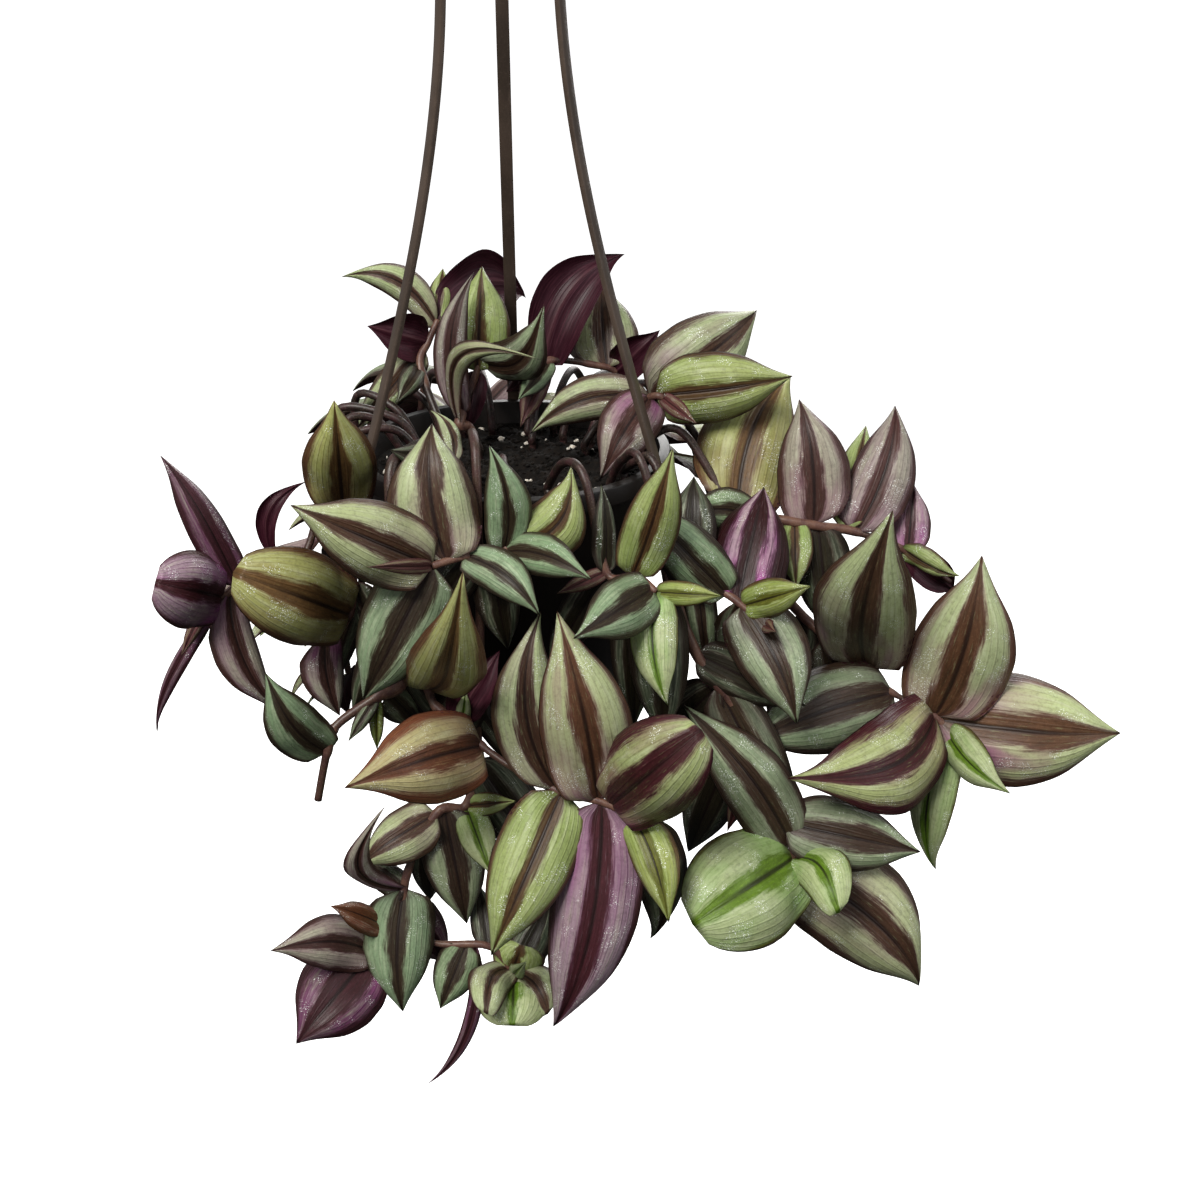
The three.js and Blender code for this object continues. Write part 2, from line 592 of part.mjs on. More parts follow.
function bladeSamples(blade) {
  const samples = [];
  const lengthwise = Math.ceil(size(sub(blade.tip, blade.base)) / sampleStep);
  const crosswise = Math.ceil(blade.half / sampleStep);
  for (let i = 0; i <= lengthwise; i += 1) {
    for (let j = -crosswise; j <= crosswise; j += 1) {
      const u = i / lengthwise;
      samples.push({ point: bladePoint(blade, u, j / crosswise), u });
    }
  }
  return samples;
}

// How much of a leaf meets what other stems, the straps or the pot take up. Leaves of one stem may meet near
// it.
const freeRoot = 0.4;
const hardClash = 6; // with the pot or a strap
const twinClash = 0.25; // with a leaf of the same stem

function clashes(samples, group, leafNumber) {
  let count = 0;
  for (const { point, u } of samples) {
    if (inPot(point)) {
      count += hardClash;
    }
    const [i, j, k] = cubeOf(point);
    for (const [di, dj, dk] of neighbours) {
      const who = taken.get(`${i + di} ${j + dj} ${k + dk}`);
      if (who === undefined) {
        continue;
      }
      const own = who.group === group;
      const ownTwin = own && who.leafNumber !== leafNumber && who.leafNumber > 0 && u > freeRoot;
      if (!own || ownTwin) {
        const stranger = who.group === 'hanger' ? hardClash : 1;
        count += own ? twinClash : stranger;
        break;
      }
    }
  }
  return count;
}

const bends = [0, 5, -5, 10, -10, 15, -15, 21, -21, 28, -28, 36]; // millimetres that a tip may move
const furthestBend = 0.5; // of the leaf's length

let leafNumber = 0;

// A leaf of a hidden stem that can't be bent clear of other stems is left out
function bendClear(blade, group, mayDrop) {
  leafNumber += 1;
  const long = size(sub(blade.tip, blade.base));
  let best = null;
  let least = Infinity;
  for (const bend of bends) {
    if ((bend < 0 && blade.away) || Math.abs(bend) > furthestBend * long) {
      continue;
    }
    const tip = add(blade.tip, times(blade.push, bend));
    const axis = unit(sub(tip, blade.base));
    const facing = unit(sub(blade.facing, times(axis, dot(blade.facing, axis))));
    const moved = { ...blade, tip, facing };
    const samples = bladeSamples(moved);
    const count = clashes(samples, group, leafNumber);
    if (count < least) {
      least = count;
      best = { moved, samples };
    }
    if (count === 0) {
      break;
    }
  }
  if (mayDrop && least >= 1) {
    return null;
  }
  for (const { point } of best.samples) {
    take(point, group, leafNumber);
  }
  return best.moved;
}

// Straps: each leaves the hanger's hub upright and is spread outwards to the rim
function strapPoint(share) {
  const spread = (3 * share * share - share * share * share) / 2;
  const footRadius = potRimRadius + gap + strap.thick / 2;
  return [
    strap.topRadius + (footRadius - strap.topRadius) * spread,
    rimZ + strap.clampAboveRim * (1 - share),
  ];
}

function reserveStraps() {
  const steps = 60;
  for (const angle of strap.angles) {
    const c = Math.cos(radians(angle));
    const s = Math.sin(radians(angle));
    for (let i = 0; i <= steps; i += 1) {
      const [r, z] = strapPoint(i / steps);
      for (const aside of [-2.5, 0, 2.5]) {
        take([r * c - aside * s, r * s + aside * c, z], 'hanger', 0);
      }
    }
  }
}

function growPlant() {
  reserveStraps();
  const stems = [];
  const byName = new Map();
  for (const item of tracedStems) {
    const host = item.from ? byName.get(item.from) : null;
    const rise = host ? [] : [...rooted(item.hole), ...item.rise.map(([x, y, z]) => [x, y, rimZ + z])];
    const points = [...rise, ...item.trail.map(seen)];
    const group = item.from || item.name;
    const stem = { name: item.name, group, points, radius: item.thick || stemRadius };
    stem.traced = item.leaves;
    stem.rootPoints = host ? 0 : rootSpans * finePerSpan;
    stems.push(stem);
    byName.set(item.name, stem);
  }
  hiddenStems.forEach((item, i) => {
    const name = `hidden_${i + 1}`;
    const stem = { name, group: name, points: hiddenPath(item), radius: stemRadius };
    stem.start = item.start || firstLeaf;
    stem.rootPoints = rootSpans * finePerSpan;
    stems.push(stem);
  });
  for (const stem of stems) {
    stem.path = smooth(stem.points, finePerSpan);
    for (let i = 0; i + 1 < stem.path.length; i += 1) {
      for (const share of [0, 0.33, 0.67]) {
        take(add(times(stem.path[i], 1 - share), times(stem.path[i + 1], share)), stem.group, 0);
      }
    }
  }
  for (const stem of stems) {
    const blades = stem.traced
      ? stem.traced.map((item) => tracedBlade(item, stem.path.slice(stem.rootPoints)))
      : hiddenBlades(stem.path, stem.start);
    stem.blades = blades.map((blade) => bendClear(blade, stem.group, !stem.traced)).filter(Boolean);
  }
  return stems.filter((stem) => stem.blades.length > 1);
}

// Solids
function bufferOf(vertices, triangles) {
  const geometry = new THREE.BufferGeometry();
  geometry.setAttribute('position', new THREE.Float32BufferAttribute(vertices.flat(), 3));
  geometry.setIndex(triangles.flat());
  return geometry;
}

function solidOf(geometry) {
  const bare = geometry.clone();
  bare.deleteAttribute('normal');
  bare.deleteAttribute('uv');
  const merged = mergeVertices(bare, 1e-3);
  return new wasm.Manifold(
    new wasm.Mesh({
      numProp: 3,
      vertProperties: new Float32Array(merged.attributes.position.array),
      triVerts: new Uint32Array(merged.index.array),
    }),
  );
}

function geometryOf(solid) {
  const mesh = solid.getMesh();
  const geometry = new THREE.BufferGeometry();
  const positions = new Float32Array(mesh.numVert * 3);
  for (let i = 0; i < mesh.numVert; i += 1) {
    positions.set(mesh.vertProperties.subarray(i * mesh.numProp, i * mesh.numProp + 3), i * 3);
  }
  geometry.setAttribute('position', new THREE.BufferAttribute(positions, 3));
  geometry.setIndex(new THREE.BufferAttribute(mesh.triVerts, 1));
  geometry.computeVertexNormals();
  return geometry;
}

// A rod with few sides along a path of points, with flat ends
function rod(path, radius, sides) {
  const vertices = [];
  const triangles = [];
  let side = Math.abs(unit(sub(path[1], path[0]))[2]) > 0.9 ? [1, 0, 0] : [0, 0, 1];
  path.forEach((point, i) => {
    const ahead = unit(sub(path[Math.min(i + 1, path.length - 1)], path[Math.max(i - 1, 0)]));
    side = unit(sub(side, times(ahead, dot(side, ahead))));
    const other = cross(ahead, side);
    for (let k = 0; k < sides; k += 1) {
      const angle = (2 * Math.PI * k) / sides;
      const spoke = add(times(side, Math.cos(angle)), times(other, Math.sin(angle)));
      vertices.push(add(point, times(spoke, radius)));
    }
  });
  for (let i = 0; i + 1 < path.length; i += 1) {
    for (let k = 0; k < sides; k += 1) {
      const a = i * sides + k;
      const b = i * sides + ((k + 1) % sides);
      triangles.push([a, b, b + sides], [a, b + sides, a + sides]);
    }
  }
  const last = (path.length - 1) * sides;
  for (let k = 1; k + 1 < sides; k += 1) {
    triangles.push([0, k + 1, k], [last, last + k, last + k + 1]);
  }
  return bufferOf(vertices, triangles);
}

// A leaf blade: thick at its inner lines, sharp at its edges, with both faces split alike
const bladeThickness = 1.2;
const rootHalf = 1; // half width of the root, which lies inside the stem
const largeHalf = 16.5; // half width from which a leaf has more bends
const stations = { plain: [0, 0.3, 0.72], small: [0, 0.22, 0.52, 0.82], large: [0, 0.12, 0.34, 0.62, 0.86] };

function bladeGeometry(blade) {
  const long = size(sub(blade.tip, blade.base));
  const lengthwise = stations[blade.shape || (blade.half > largeHalf ? 'large' : 'small')];
  const across = [-1, 0, 1];
  const root = unit(sub(blade.base, blade.tip));
  const sunk = { ...blade, base: add(blade.base, times(root, 0.6)) };
  const vertices = [];
  const triangles = [];
  const top = [];
  const bottom = [];
  for (const u of lengthwise) {
    const topRow = [];
    const bottomRow = [];
    for (const v of across) {
      const narrow = u === 0 ? Math.min(1, rootHalf / (blade.half * outline(0, blade.blunt))) : 1;
      const point = bladePoint(sunk, u, v * narrow);
      topRow.push(vertices.length);
      vertices.push(point);
      if (Math.abs(v) === 1) {
        bottomRow.push(topRow[topRow.length - 1]);
      } else {
        bottomRow.push(vertices.length);
        vertices.push(add(point, times(blade.facing, -bladeThickness * Math.min(1, long / 30))));
      }
    }
    top.push(topRow);
    bottom.push(bottomRow);
  }
  const tip = vertices.length;
  vertices.push(bladePoint(sunk, 1, 0));
  const face = (rows, flip) => {
    const put = (a, b, c) => triangles.push(flip ? [a, c, b] : [a, b, c]);
    for (let i = 0; i + 1 < rows.length; i += 1) {
      for (let j = 0; j + 1 < across.length; j += 1) {
        put(rows[i][j], rows[i][j + 1], rows[i + 1][j + 1]);
        put(rows[i][j], rows[i + 1][j + 1], rows[i + 1][j]);
      }
    }
    const end = rows[rows.length - 1];
    for (let j = 0; j + 1 < across.length; j += 1) {
      put(end[j], end[j + 1], tip);
    }
  };
  face(top, false);
  face(bottom, true);
  const first = [...top[0], ...bottom[0].slice(1, -1).reverse()];
  for (let k = 1; k + 1 < first.length; k += 1) {
    triangles.push([first[0], first[k + 1], first[k]]);
  }
  return bufferOf(vertices, triangles);
}

const plantColours = {
  silver: 0x8fa873, silverDark: 0x6f8560, silverPurple: 0x7f7a72, green: 0x7f9a48, light: 0xa9bd8c,
  bright: 0x7fae3c, young: 0x8aa84a, cool: 0x74a07e, olive: 0xa2b068, wine: 0x8a6f5a, mauve: 0x87737f,
  magenta: 0x7d3f78, purple: 0x74467a, maroon: 0x4a1a30, dark: 0x3d4a2c, dull: 0x66774c, bud: 0x77565a,
  orange: 0x9c8a4a, dried: 0x8a5a44,
};

// The path with only the points that its bends need
function thinned(path, soilPoint) {
  const kept = [path[0]];
  let turn = 0;
  let run = 0;
  for (let i = 1; i + 1 < path.length; i += 1) {
    const before = unit(sub(path[i], path[i - 1]));
    const after = unit(sub(path[i + 1], path[i]));
    turn += Math.acos(Math.min(1, dot(before, after)));
    run += size(sub(path[i], path[i - 1]));
    if (turn > thinTurn || run > thinRun || i === soilPoint) {
      kept.push(path[i]);
      turn = 0;
      run = 0;
    }
  }
  kept.push(path[path.length - 1]);
  return kept;
}
const thinTurn = 0.32; // radians
const thinRun = 36;
const stemSides = 4;

function stemSolid(stem) {
  let solid = solidOf(rod(thinned(stem.path, stem.rootPoints), stem.radius, stemSides));
  for (const blade of stem.blades) {
    solid = solid.add(solidOf(bladeGeometry(blade)));
  }
  return solid;
}

// A pocket that leaves close all round becomes part of the solid
const filled = (solid) => solid.decompose().filter((body) => body.volume() > 0).reduce((a, b) => a.add(b));

// Stems and leaves that meet grow into one solid
function joinedStems(stems) {
  const clumps = [];
  for (const stem of stems) {
    const tone = stem.blades[0].tone;
    let clump = { names: [stem.name], groups: [stem.group], solid: stemSolid(stem), tone };
    for (const other of [...clumps]) {
      const sameGroup = other.groups.includes(stem.group);
      const common = clump.solid.intersect(other.solid).volume();
      if (sameGroup || common > touching) {
        clump = {
          names: [...other.names, ...clump.names],
          groups: [...other.groups, ...clump.groups],
          solid: other.solid.add(clump.solid),
          tone: other.tone,
        };
        clumps.splice(clumps.indexOf(other), 1);
      }
    }
    clumps.push(clump);
  }
  return clumps.map((clump) => ({ ...clump, solid: filled(clump.solid) }));
}
const touching = 0.002; // cubic millimetres

const potSegments = 24;

function potSolid() {
  const z = (height) => rimZ - potHeight + height;
  const skirtFoot = rimZ - rimSkirt.depth;
  const wallTop = potRimRadius - rimSkirt.thick - 1.6;
  const footRing = { high: 2, inner: potBaseRadius - 5 };
  const profile = [
    [0, z(footRing.high)],
    [footRing.inner - 1.5, z(footRing.high)],
    [footRing.inner, z(0)],
    [potBaseRadius - 1, z(0)],
    [potBaseRadius, z(1)],
    [wallTop, rimZ - rimSkirt.flange],
    [potRimRadius - rimSkirt.thick, rimZ - rimSkirt.flange],
    [potRimRadius - rimSkirt.thick, skirtFoot],
    [potRimRadius, skirtFoot],
    [potRimRadius, rimZ - 0.8],
    [potRimRadius - 0.8, rimZ],
    [wallTop - potWall + 0.6, rimZ],
    [wallTop - potWall, rimZ - 1],
    [potBaseRadius - potWall, z(footRing.high + potWall)],
    [0, z(footRing.high + potWall)],
  ];
  const turnedPot = new THREE.LatheGeometry(profile.map(([r, h]) => new THREE.Vector2(r, h)), potSegments);
  turnedPot.rotateX(Math.PI / 2);
  let solid = solidOf(turnedPot);
  const drains = 6;
  const drainRing = 27;
  for (let i = 0; i < drains; i += 1) {
    const angle = (2 * Math.PI * i) / drains;
    const drain = new THREE.CylinderGeometry(4, 4, 12, 8);
    drain.rotateX(Math.PI / 2);
    drain.translate(drainRing * Math.cos(angle), drainRing * Math.sin(angle), z(0));
    solid = solid.subtract(solidOf(drain));
  }
  return solid;
}

const holeGap = 0.9; // between a four-sided stem's corners and its hole's
const holeLength = 24; // past the top of the soil's highest crumbs

// Height of the loose soil over its mean level
const relief = (x, y) =>
  1.1 * Math.sin(x * 0.19 + 1) * Math.cos(y * 0.17)
  + 0.8 * Math.sin(x * 0.41 + y * 0.33)
  + 0.5 * Math.cos(y * 0.7);

function soilSolid(stems) {
  const floor = rimZ - potHeight + 2 + potWall + gap;
  const wallTop = potRimRadius - rimSkirt.thick - 1.6 - potWall;
  const wallAt = (z) =>
    potBaseRadius - potWall + ((wallTop - potBaseRadius + potWall) * (z - floor)) / (rimZ - 1 - floor);
  const soilGap = 0.35;
  const rings = [0.97, 0.52];
  const edge = wallAt(soilTop) - soilGap;
  const profile = [
    [0, floor],
    [wallAt(floor) - soilGap, floor],
    [edge, soilTop - 1],
    ...rings.map((share) => [edge * share, soilTop]),
    [0, soilTop],
  ];
  const turnedSoil = new THREE.LatheGeometry(profile.map(([r, h]) => new THREE.Vector2(r, h)), potSegments);
  turnedSoil.rotateX(Math.PI / 2);
  const position = turnedSoil.getAttribute('position');
  for (let i = 0; i < position.count; i += 1) {
    const r = Math.hypot(position.getX(i), position.getY(i));
    if (position.getZ(i) > soilTop - 0.5 && r < edge * 0.9) {
      position.setZ(i, position.getZ(i) + relief(position.getX(i), position.getY(i)));
    }
  }
  let solid = solidOf(turnedSoil);
  for (const stem of stems) {
    const [x, y, z] = stem.points[0];
    if (z > soilTop) {
      continue;
    }
    const holeRadius = stem.radius + holeGap;
    const hole = new THREE.CylinderGeometry(holeRadius, holeRadius, holeLength, stemSides);
    hole.rotateX(Math.PI / 2);
    hole.translate(x, y, soilTop - rootDepth - gap + holeLength / 2);
    solid = solid.subtract(solidOf(hole));
  }
  return solid;
}

// One strap's outline seen from the side (radius, height), with the clip that hooks under the rim's skirt
function strapGeometry() {
  const steps = 12;
  const outer = [];
  const inner = [];
  const socketTop = rimZ + strap.clampAboveRim + hub.armRise;
  outer.push([strap.topRadius + strap.thick / 2, socketTop]);
  inner.push([strap.topRadius - strap.thick / 2, socketTop]);
  for (let i = 0; i <= steps; i += 1) {
    const share = i / steps;
    const [r, z] = strapPoint(share);
    const [r2, z2] = strapPoint(share + 0.01);
    const long = Math.hypot(r2 - r, z2 - z);
    const normal = [-(z2 - z) / long, (r2 - r) / long];
    if (share < 1) {
      outer.push([r + (normal[0] * strap.thick) / 2, z + (normal[1] * strap.thick) / 2]);
      inner.push([r - (normal[0] * strap.thick) / 2, z - (normal[1] * strap.thick) / 2]);
    }
  }
  const face = potRimRadius + gap;
  const back = face + strap.thick;
  const skirtFoot = rimZ - rimSkirt.depth;
  const clip = [
    [back, rimZ + 0.5],
    [back, skirtFoot - gap - 2.2],
    [face - 1, skirtFoot - gap - 2.2],
    [potRimRadius - rimSkirt.thick, skirtFoot - gap],
    [face, skirtFoot - gap],
    [face, rimZ + 0.5],
  ];
  const sideOutline = [...outer, ...clip, ...inner.reverse()];
  const shape = new THREE.Shape(sideOutline.map(([r, z]) => new THREE.Vector2(r, z)));
  const geometry = new THREE.ExtrudeGeometry(shape, { depth: strap.wide, bevelEnabled: false, steps: 1 });
  geometry.translate(0, 0, -strap.wide / 2);
  geometry.rotateX(Math.PI / 2);
  return geometry;
}

const hub = { armRise: 3.4, armWide: 8, armDeep: 6, armReach: 27, bossRadius: 6.5 };

function hubSolid() {
  const clampZ = rimZ + strap.clampAboveRim;
  const armFloor = clampZ - 2;
  const boss = [
    [0, armFloor - 2],
    [hub.bossRadius - 1.5, armFloor - 2],
    [hub.bossRadius, armFloor],
    [hub.bossRadius, armFloor + hub.armDeep],
    [hook.rod + 1, armFloor + hub.armDeep + 5],
    [0, armFloor + hub.armDeep + 5],
  ];
  const bossGeometry = new THREE.LatheGeometry(boss.map(([r, h]) => new THREE.Vector2(r, h)), 20);
  bossGeometry.rotateX(Math.PI / 2);
  let solid = solidOf(bossGeometry);
  for (const angle of strap.angles) {
    const arm = new THREE.BoxGeometry(hub.armReach, hub.armWide, hub.armDeep);
    arm.translate(hub.armReach / 2, 0, armFloor + hub.armDeep / 2);
    arm.rotateZ(radians(angle));
    solid = solid.add(solidOf(arm));
    const socketHigh = clampZ + hub.armRise + gap - armFloor + 2;
    const socket = new THREE.BoxGeometry(strap.thick + 2 * gap, strap.wide + 2 * gap, socketHigh);
    socket.translate(strap.topRadius, 0, armFloor - 2 + socketHigh / 2);
    socket.rotateZ(radians(angle));
    solid = solid.subtract(solidOf(socket));
  }
  const bend = hook.inner + hook.rod;
  const centre = -hook.inner;
  const curve = [
    [0, 0, -hook.shankFoot],
    [0, 0, -hook.shankFoot + 9],
    [-bend * 0.45, 0, centre - bend * 1.35],
    [-bend * 0.93, 0, centre - bend * 0.6],
  ];
  const arcSteps = 10;
  for (let i = 0; i <= arcSteps; i += 1) {
    const angle = Math.PI * (1 - i / arcSteps);
    curve.push([bend * Math.cos(angle), 0, centre + bend * Math.sin(angle)]);
  }
  curve.push([bend * 0.92, 0, centre - bend * 0.45], [bend * 0.98, 0, centre - bend * 0.85]);
  return solid.add(solidOf(rod(curve, hook.rod, 8)));
}

// Assembly
const part = new THREE.Group();

function addPiece(name, geometry, look) {
  const piece = new THREE.Mesh(geometry, new THREE.MeshStandardMaterial(look));
  piece.name = name;
  part.add(piece);
  return piece;
}

const plastic = { color: 0x3b3029, roughness: 0.5, metalness: 0 };
const stems = growPlant();

addPiece('pot', geometryOf(potSolid()), plastic);
addPiece('soil', geometryOf(soilSolid(stems)), { color: 0x15100d, roughness: 1, metalness: 0 });
addPiece('hanger_hub', geometryOf(hubSolid()), plastic);
strap.angles.forEach((angle, i) => {
  const piece = addPiece(`strap_${i + 1}`, strapGeometry(), plastic);
  piece.rotation.z = radians(angle);
});
for (const clump of joinedStems(stems)) {
  const look = { color: plantColours[clump.tone], roughness: 0.45, metalness: 0 };
  addPiece(`stems_${clump.names.join('-')}`.slice(0, 58), geometryOf(clump.solid), look);
}

export default part;
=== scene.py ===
import math

import bpy
from mathutils import Matrix, Vector, noise


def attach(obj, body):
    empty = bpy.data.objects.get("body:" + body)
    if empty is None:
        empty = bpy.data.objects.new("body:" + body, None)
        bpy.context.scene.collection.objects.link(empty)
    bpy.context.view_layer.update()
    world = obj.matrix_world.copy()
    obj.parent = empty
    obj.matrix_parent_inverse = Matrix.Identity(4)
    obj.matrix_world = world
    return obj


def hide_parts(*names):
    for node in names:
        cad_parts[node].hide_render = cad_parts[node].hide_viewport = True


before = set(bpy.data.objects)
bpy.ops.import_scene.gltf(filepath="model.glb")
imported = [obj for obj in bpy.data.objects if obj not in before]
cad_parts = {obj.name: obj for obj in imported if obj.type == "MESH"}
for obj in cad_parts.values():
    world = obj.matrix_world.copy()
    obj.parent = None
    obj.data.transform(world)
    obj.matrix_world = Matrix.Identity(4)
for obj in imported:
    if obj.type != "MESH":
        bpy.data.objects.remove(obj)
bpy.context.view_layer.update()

mm = 0.001
white = (1, 1, 1, 1)

# The photograph's view of the plant, for its 1200 pixel frame; lengths in millimetres
view = {"pitch": 24.65, "yaw": 2.6, "focal": 1500, "distance": 602.7, "rimX": 512.3, "rimY": 445.2,
        "middle": 600, "sensor": 36}

pot = {"rimZ": -232, "height": 100, "rimRadius": 63.4, "baseRadius": 44, "wall": 1.6, "skirtDepth": 7,
       "skirtThick": 1.5, "flange": 2.2, "soilBelowRim": 9, "gap": 0.3, "segments": 96,
       "recess": 2, "ledge": 1.6, "sharp": 35, "drains": 6, "drainRing": 27, "drainRadius": 4,
       "drainSides": 24}

strap = {"wide": 5, "thick": 2.2, "topRadius": 23.4, "clampAboveRim": 185.6, "angles": (210, 330, 90),
         "steps": 48, "edge": 0.45, "lip": 2.2, "tooth": 1, "overRim": 0.5}

soilTop = pot["rimZ"] - pot["soilBelowRim"]


def add(a, b):
    return (a[0] + b[0], a[1] + b[1], a[2] + b[2])


def sub(a, b):
    return (a[0] - b[0], a[1] - b[1], a[2] - b[2])


def times(a, k):
    return (a[0] * k, a[1] * k, a[2] * k)


def dot(a, b):
    return a[0] * b[0] + a[1] * b[1] + a[2] * b[2]


def cross(a, b):
    return (a[1] * b[2] - a[2] * b[1], a[2] * b[0] - a[0] * b[2], a[0] * b[1] - a[1] * b[0])


def size(a):
    return math.sqrt(dot(a, a))


def unit(a):
    return times(a, 1 / size(a))


def square(vector, axis):  # the part of a vector that stands square to the axis
    return unit(sub(vector, times(axis, dot(vector, axis))))


def clamp(value, low=0.0, high=1.0):
    return max(low, min(high, value))


def ease(value, low, high):
    t = clamp((value - low) / (high - low))
    return t * t * (3 - 2 * t)


class Draws:
    def __init__(self, seed):
        self.seed = seed

    def next(self):
        self.seed = self.seed * 16807 % 2147483647
        return self.seed / 2147483647

    def between(self, low, high):
        return low + (high - low) * self.next()


class Sight:
    def __init__(self):
        pitch = math.radians(view["pitch"])
        yaw = math.radians(view["yaw"])
        self.ahead = (math.sin(yaw) * math.cos(pitch), math.cos(yaw) * math.cos(pitch), -math.sin(pitch))
        self.right = (math.cos(yaw), -math.sin(yaw), 0)
        self.up = cross(self.right, self.ahead)
        toRim = times(self.ray(view["rimX"], view["rimY"]), view["distance"])
        self.eye = sub((0, 0, pot["rimZ"]), toRim)

    def ray(self, px, py):
        aside = (px - view["middle"]) / view["focal"]
        above = (view["middle"] - py) / view["focal"]
        return add(self.ahead, add(times(self.right, aside), times(self.up, above)))

    def project(self, point):
        v = sub(point, self.eye)
        depth = dot(v, self.ahead)
        return (view["middle"] + view["focal"] * dot(v, self.right) / depth,
                view["middle"] - view["focal"] * dot(v, self.up) / depth)

    def seen(self, px, py, y):  # the point on the sight line at depth y
        ray = self.ray(px, py)
        return add(self.eye, times(ray, (y - self.eye[1]) / ray[1]))

    def pixelSize(self, point):
        return size(sub(point, self.eye)) / view["focal"]


sight = Sight()


def linked(name, data):
    made = bpy.data.objects.new(name, data)
    bpy.context.collection.objects.link(made)
    return made


def makeCamera():
    data = bpy.data.cameras.new("camera")
    data.sensor_width = view["sensor"]
    data.lens = view["focal"] / (2 * view["middle"]) * view["sensor"]
    data.clip_start = 0.01
    data.clip_end = 60
    camera = linked("camera", data)
    turn = Matrix((sight.right, sight.up, times(sight.ahead, -1))).transposed()
    camera.matrix_world = Matrix.Translation(Vector(sight.eye) * mm) @ turn.to_4x4()
    bpy.context.scene.camera = camera


makeCamera()
print("camera set")

studio = {"floorZ": -1.0, "floorSpan": 60, "floorColour": (0.93, 0.93, 0.93), "floorGlow": 0.88,
          "backdrop": 1.0, "sky": 0.3, "ground": 0.03, "horizon": (-0.35, -0.02), "aim": (0, 0, -0.28)}
lamps = [
    {"name": "key", "place": (-0.7, -1.1, 1.3), "size": 0.8, "power": 53, "colour": (1, 0.975, 0.92)},
    {"name": "side", "place": (1.4, -0.6, 0.5), "size": 1.0, "power": 9, "colour": (0.97, 0.98, 1)},
    {"name": "rear", "place": (0.5, 1.5, 0.4), "size": 1.2, "power": 26, "colour": (1, 0.99, 0.97)},
]


class Wire:  # a socket that can be used in expressions
    def __init__(self, net, socket):
        self.net = net
        self.socket = socket

    def maths(self, operation, *values):
        return self.net.node("ShaderNodeMath", {"operation": operation}, dict(enumerate(values)))

    def __add__(self, other):
        return self.maths("ADD", self, other)

    __radd__ = __add__

    def __sub__(self, other):
        return self.maths("SUBTRACT", self, other)

    def __rsub__(self, other):
        return self.maths("SUBTRACT", other, self)

    def __mul__(self, other):
        return self.maths("MULTIPLY", self, other)

    __rmul__ = __mul__

    def __abs__(self):
        return self.maths("ABSOLUTE", self)

    def folded(self, span):  # goes up and down between 0 and span
        return self.maths("PINGPONG", self, span)

    def rises(self, low, high, start=0.0, end=1.0):  # start below low, end above high, smooth between
        return self.net.node("ShaderNodeMapRange", {"interpolation_type": "SMOOTHSTEP"}, {
            "Value": self, "From Min": low, "From Max": high, "To Min": start, "To Max": end})


class Net:  # a node tree and the node in which it ends
    def __init__(self, tree, end):
        self.tree = tree
        self.end = tree.nodes[end]

    def node(self, kind, settings=None, inputs=None, output=0):
        made = self.tree.nodes.new(kind)
        for name, value in (settings or {}).items():
            setattr(made, name, value)
        for name, value in (inputs or {}).items():
            if isinstance(value, Wire):
                self.tree.links.new(value.socket, made.inputs[name])
            else:
                made.inputs[name].default_value = value
        return Wire(self, made.outputs[output])

    def parts(self, kind, whole):
        split = self.node(kind, None, {0: whole}).socket.node
        return [Wire(self, split.outputs[i]) for i in range(3)]

    def feed(self, socket, wire):
        self.tree.links.new(wire.socket, self.end.inputs[socket])


class Finish(Net):
    def __init__(self, name, **fixed):
        self.material = bpy.data.materials.new(name)
        self.material.use_nodes = True
        super().__init__(self.material.node_tree, "Principled BSDF")
        for socket, value in fixed.items():
            self.end.inputs[socket.replace("_", " ")].default_value = value

    def mix(self, share, a, b, blend="MIX"):
        settings = {"data_type": "RGBA", "blend_type": blend}
        return self.node("ShaderNodeMix", settings, {0: share, 6: a, 7: b}, output=2)

    def kept(self, name, output="Color"):  # what the mesh keeps under this name
        return self.node("ShaderNodeAttribute", {"attribute_name": name}, output=output)

    def here(self):
        return self.node("ShaderNodeTexCoord", output="Object")

    def point(self, x, y, z):
        return self.node("ShaderNodeCombineXYZ", None, {0: x, 1: y, 2: z})

    def speckle(self, place, scale, detail=2.0, rough=0.55):
        inputs = {"Vector": place, "Scale": scale, "Detail": detail, "Roughness": rough}
        return self.node("ShaderNodeTexNoise", {"noise_dimensions": "3D"}, inputs)

    def done(self, colour, rough, height, strength, distance):
        inputs = {"Strength": strength, "Distance": distance, "Height": height}
        self.feed("Base Color", colour)
        self.feed("Roughness", rough)
        self.feed("Normal", self.node("ShaderNodeBump", None, inputs))
        return self.material


def linear(code):  # a colour as seen, such as 8fa873, in Blender's linear values
    made = []
    for i in (0, 2, 4):
        c = int(code[i:i + 2], 16) / 255
        made.append(c / 12.92 if c <= 0.04045 else ((c + 0.055) / 1.055) ** 2.4)
    return (*made, 1.0)


def makeWorld():
    world = bpy.data.worlds.new("studio")
    bpy.context.scene.world = world
    world.use_nodes = True
    net = Net(world.node_tree, "World Output")
    net.tree.nodes.remove(net.tree.nodes["Background"])
    height = net.parts("ShaderNodeSeparateXYZ", net.node("ShaderNodeTexCoord", output="Generated"))[2]
    glow = height.rises(*studio["horizon"], studio["ground"], studio["sky"])
    light = net.node("ShaderNodeBackground", None, {"Color": white, "Strength": glow})
    backdrop = net.node("ShaderNodeBackground", None, {"Color": white, "Strength": studio["backdrop"]})
    seen = net.node("ShaderNodeLightPath", output="Is Camera Ray")
    net.feed("Surface", net.node("ShaderNodeMixShader", None, {0: seen, 1: light, 2: backdrop}))


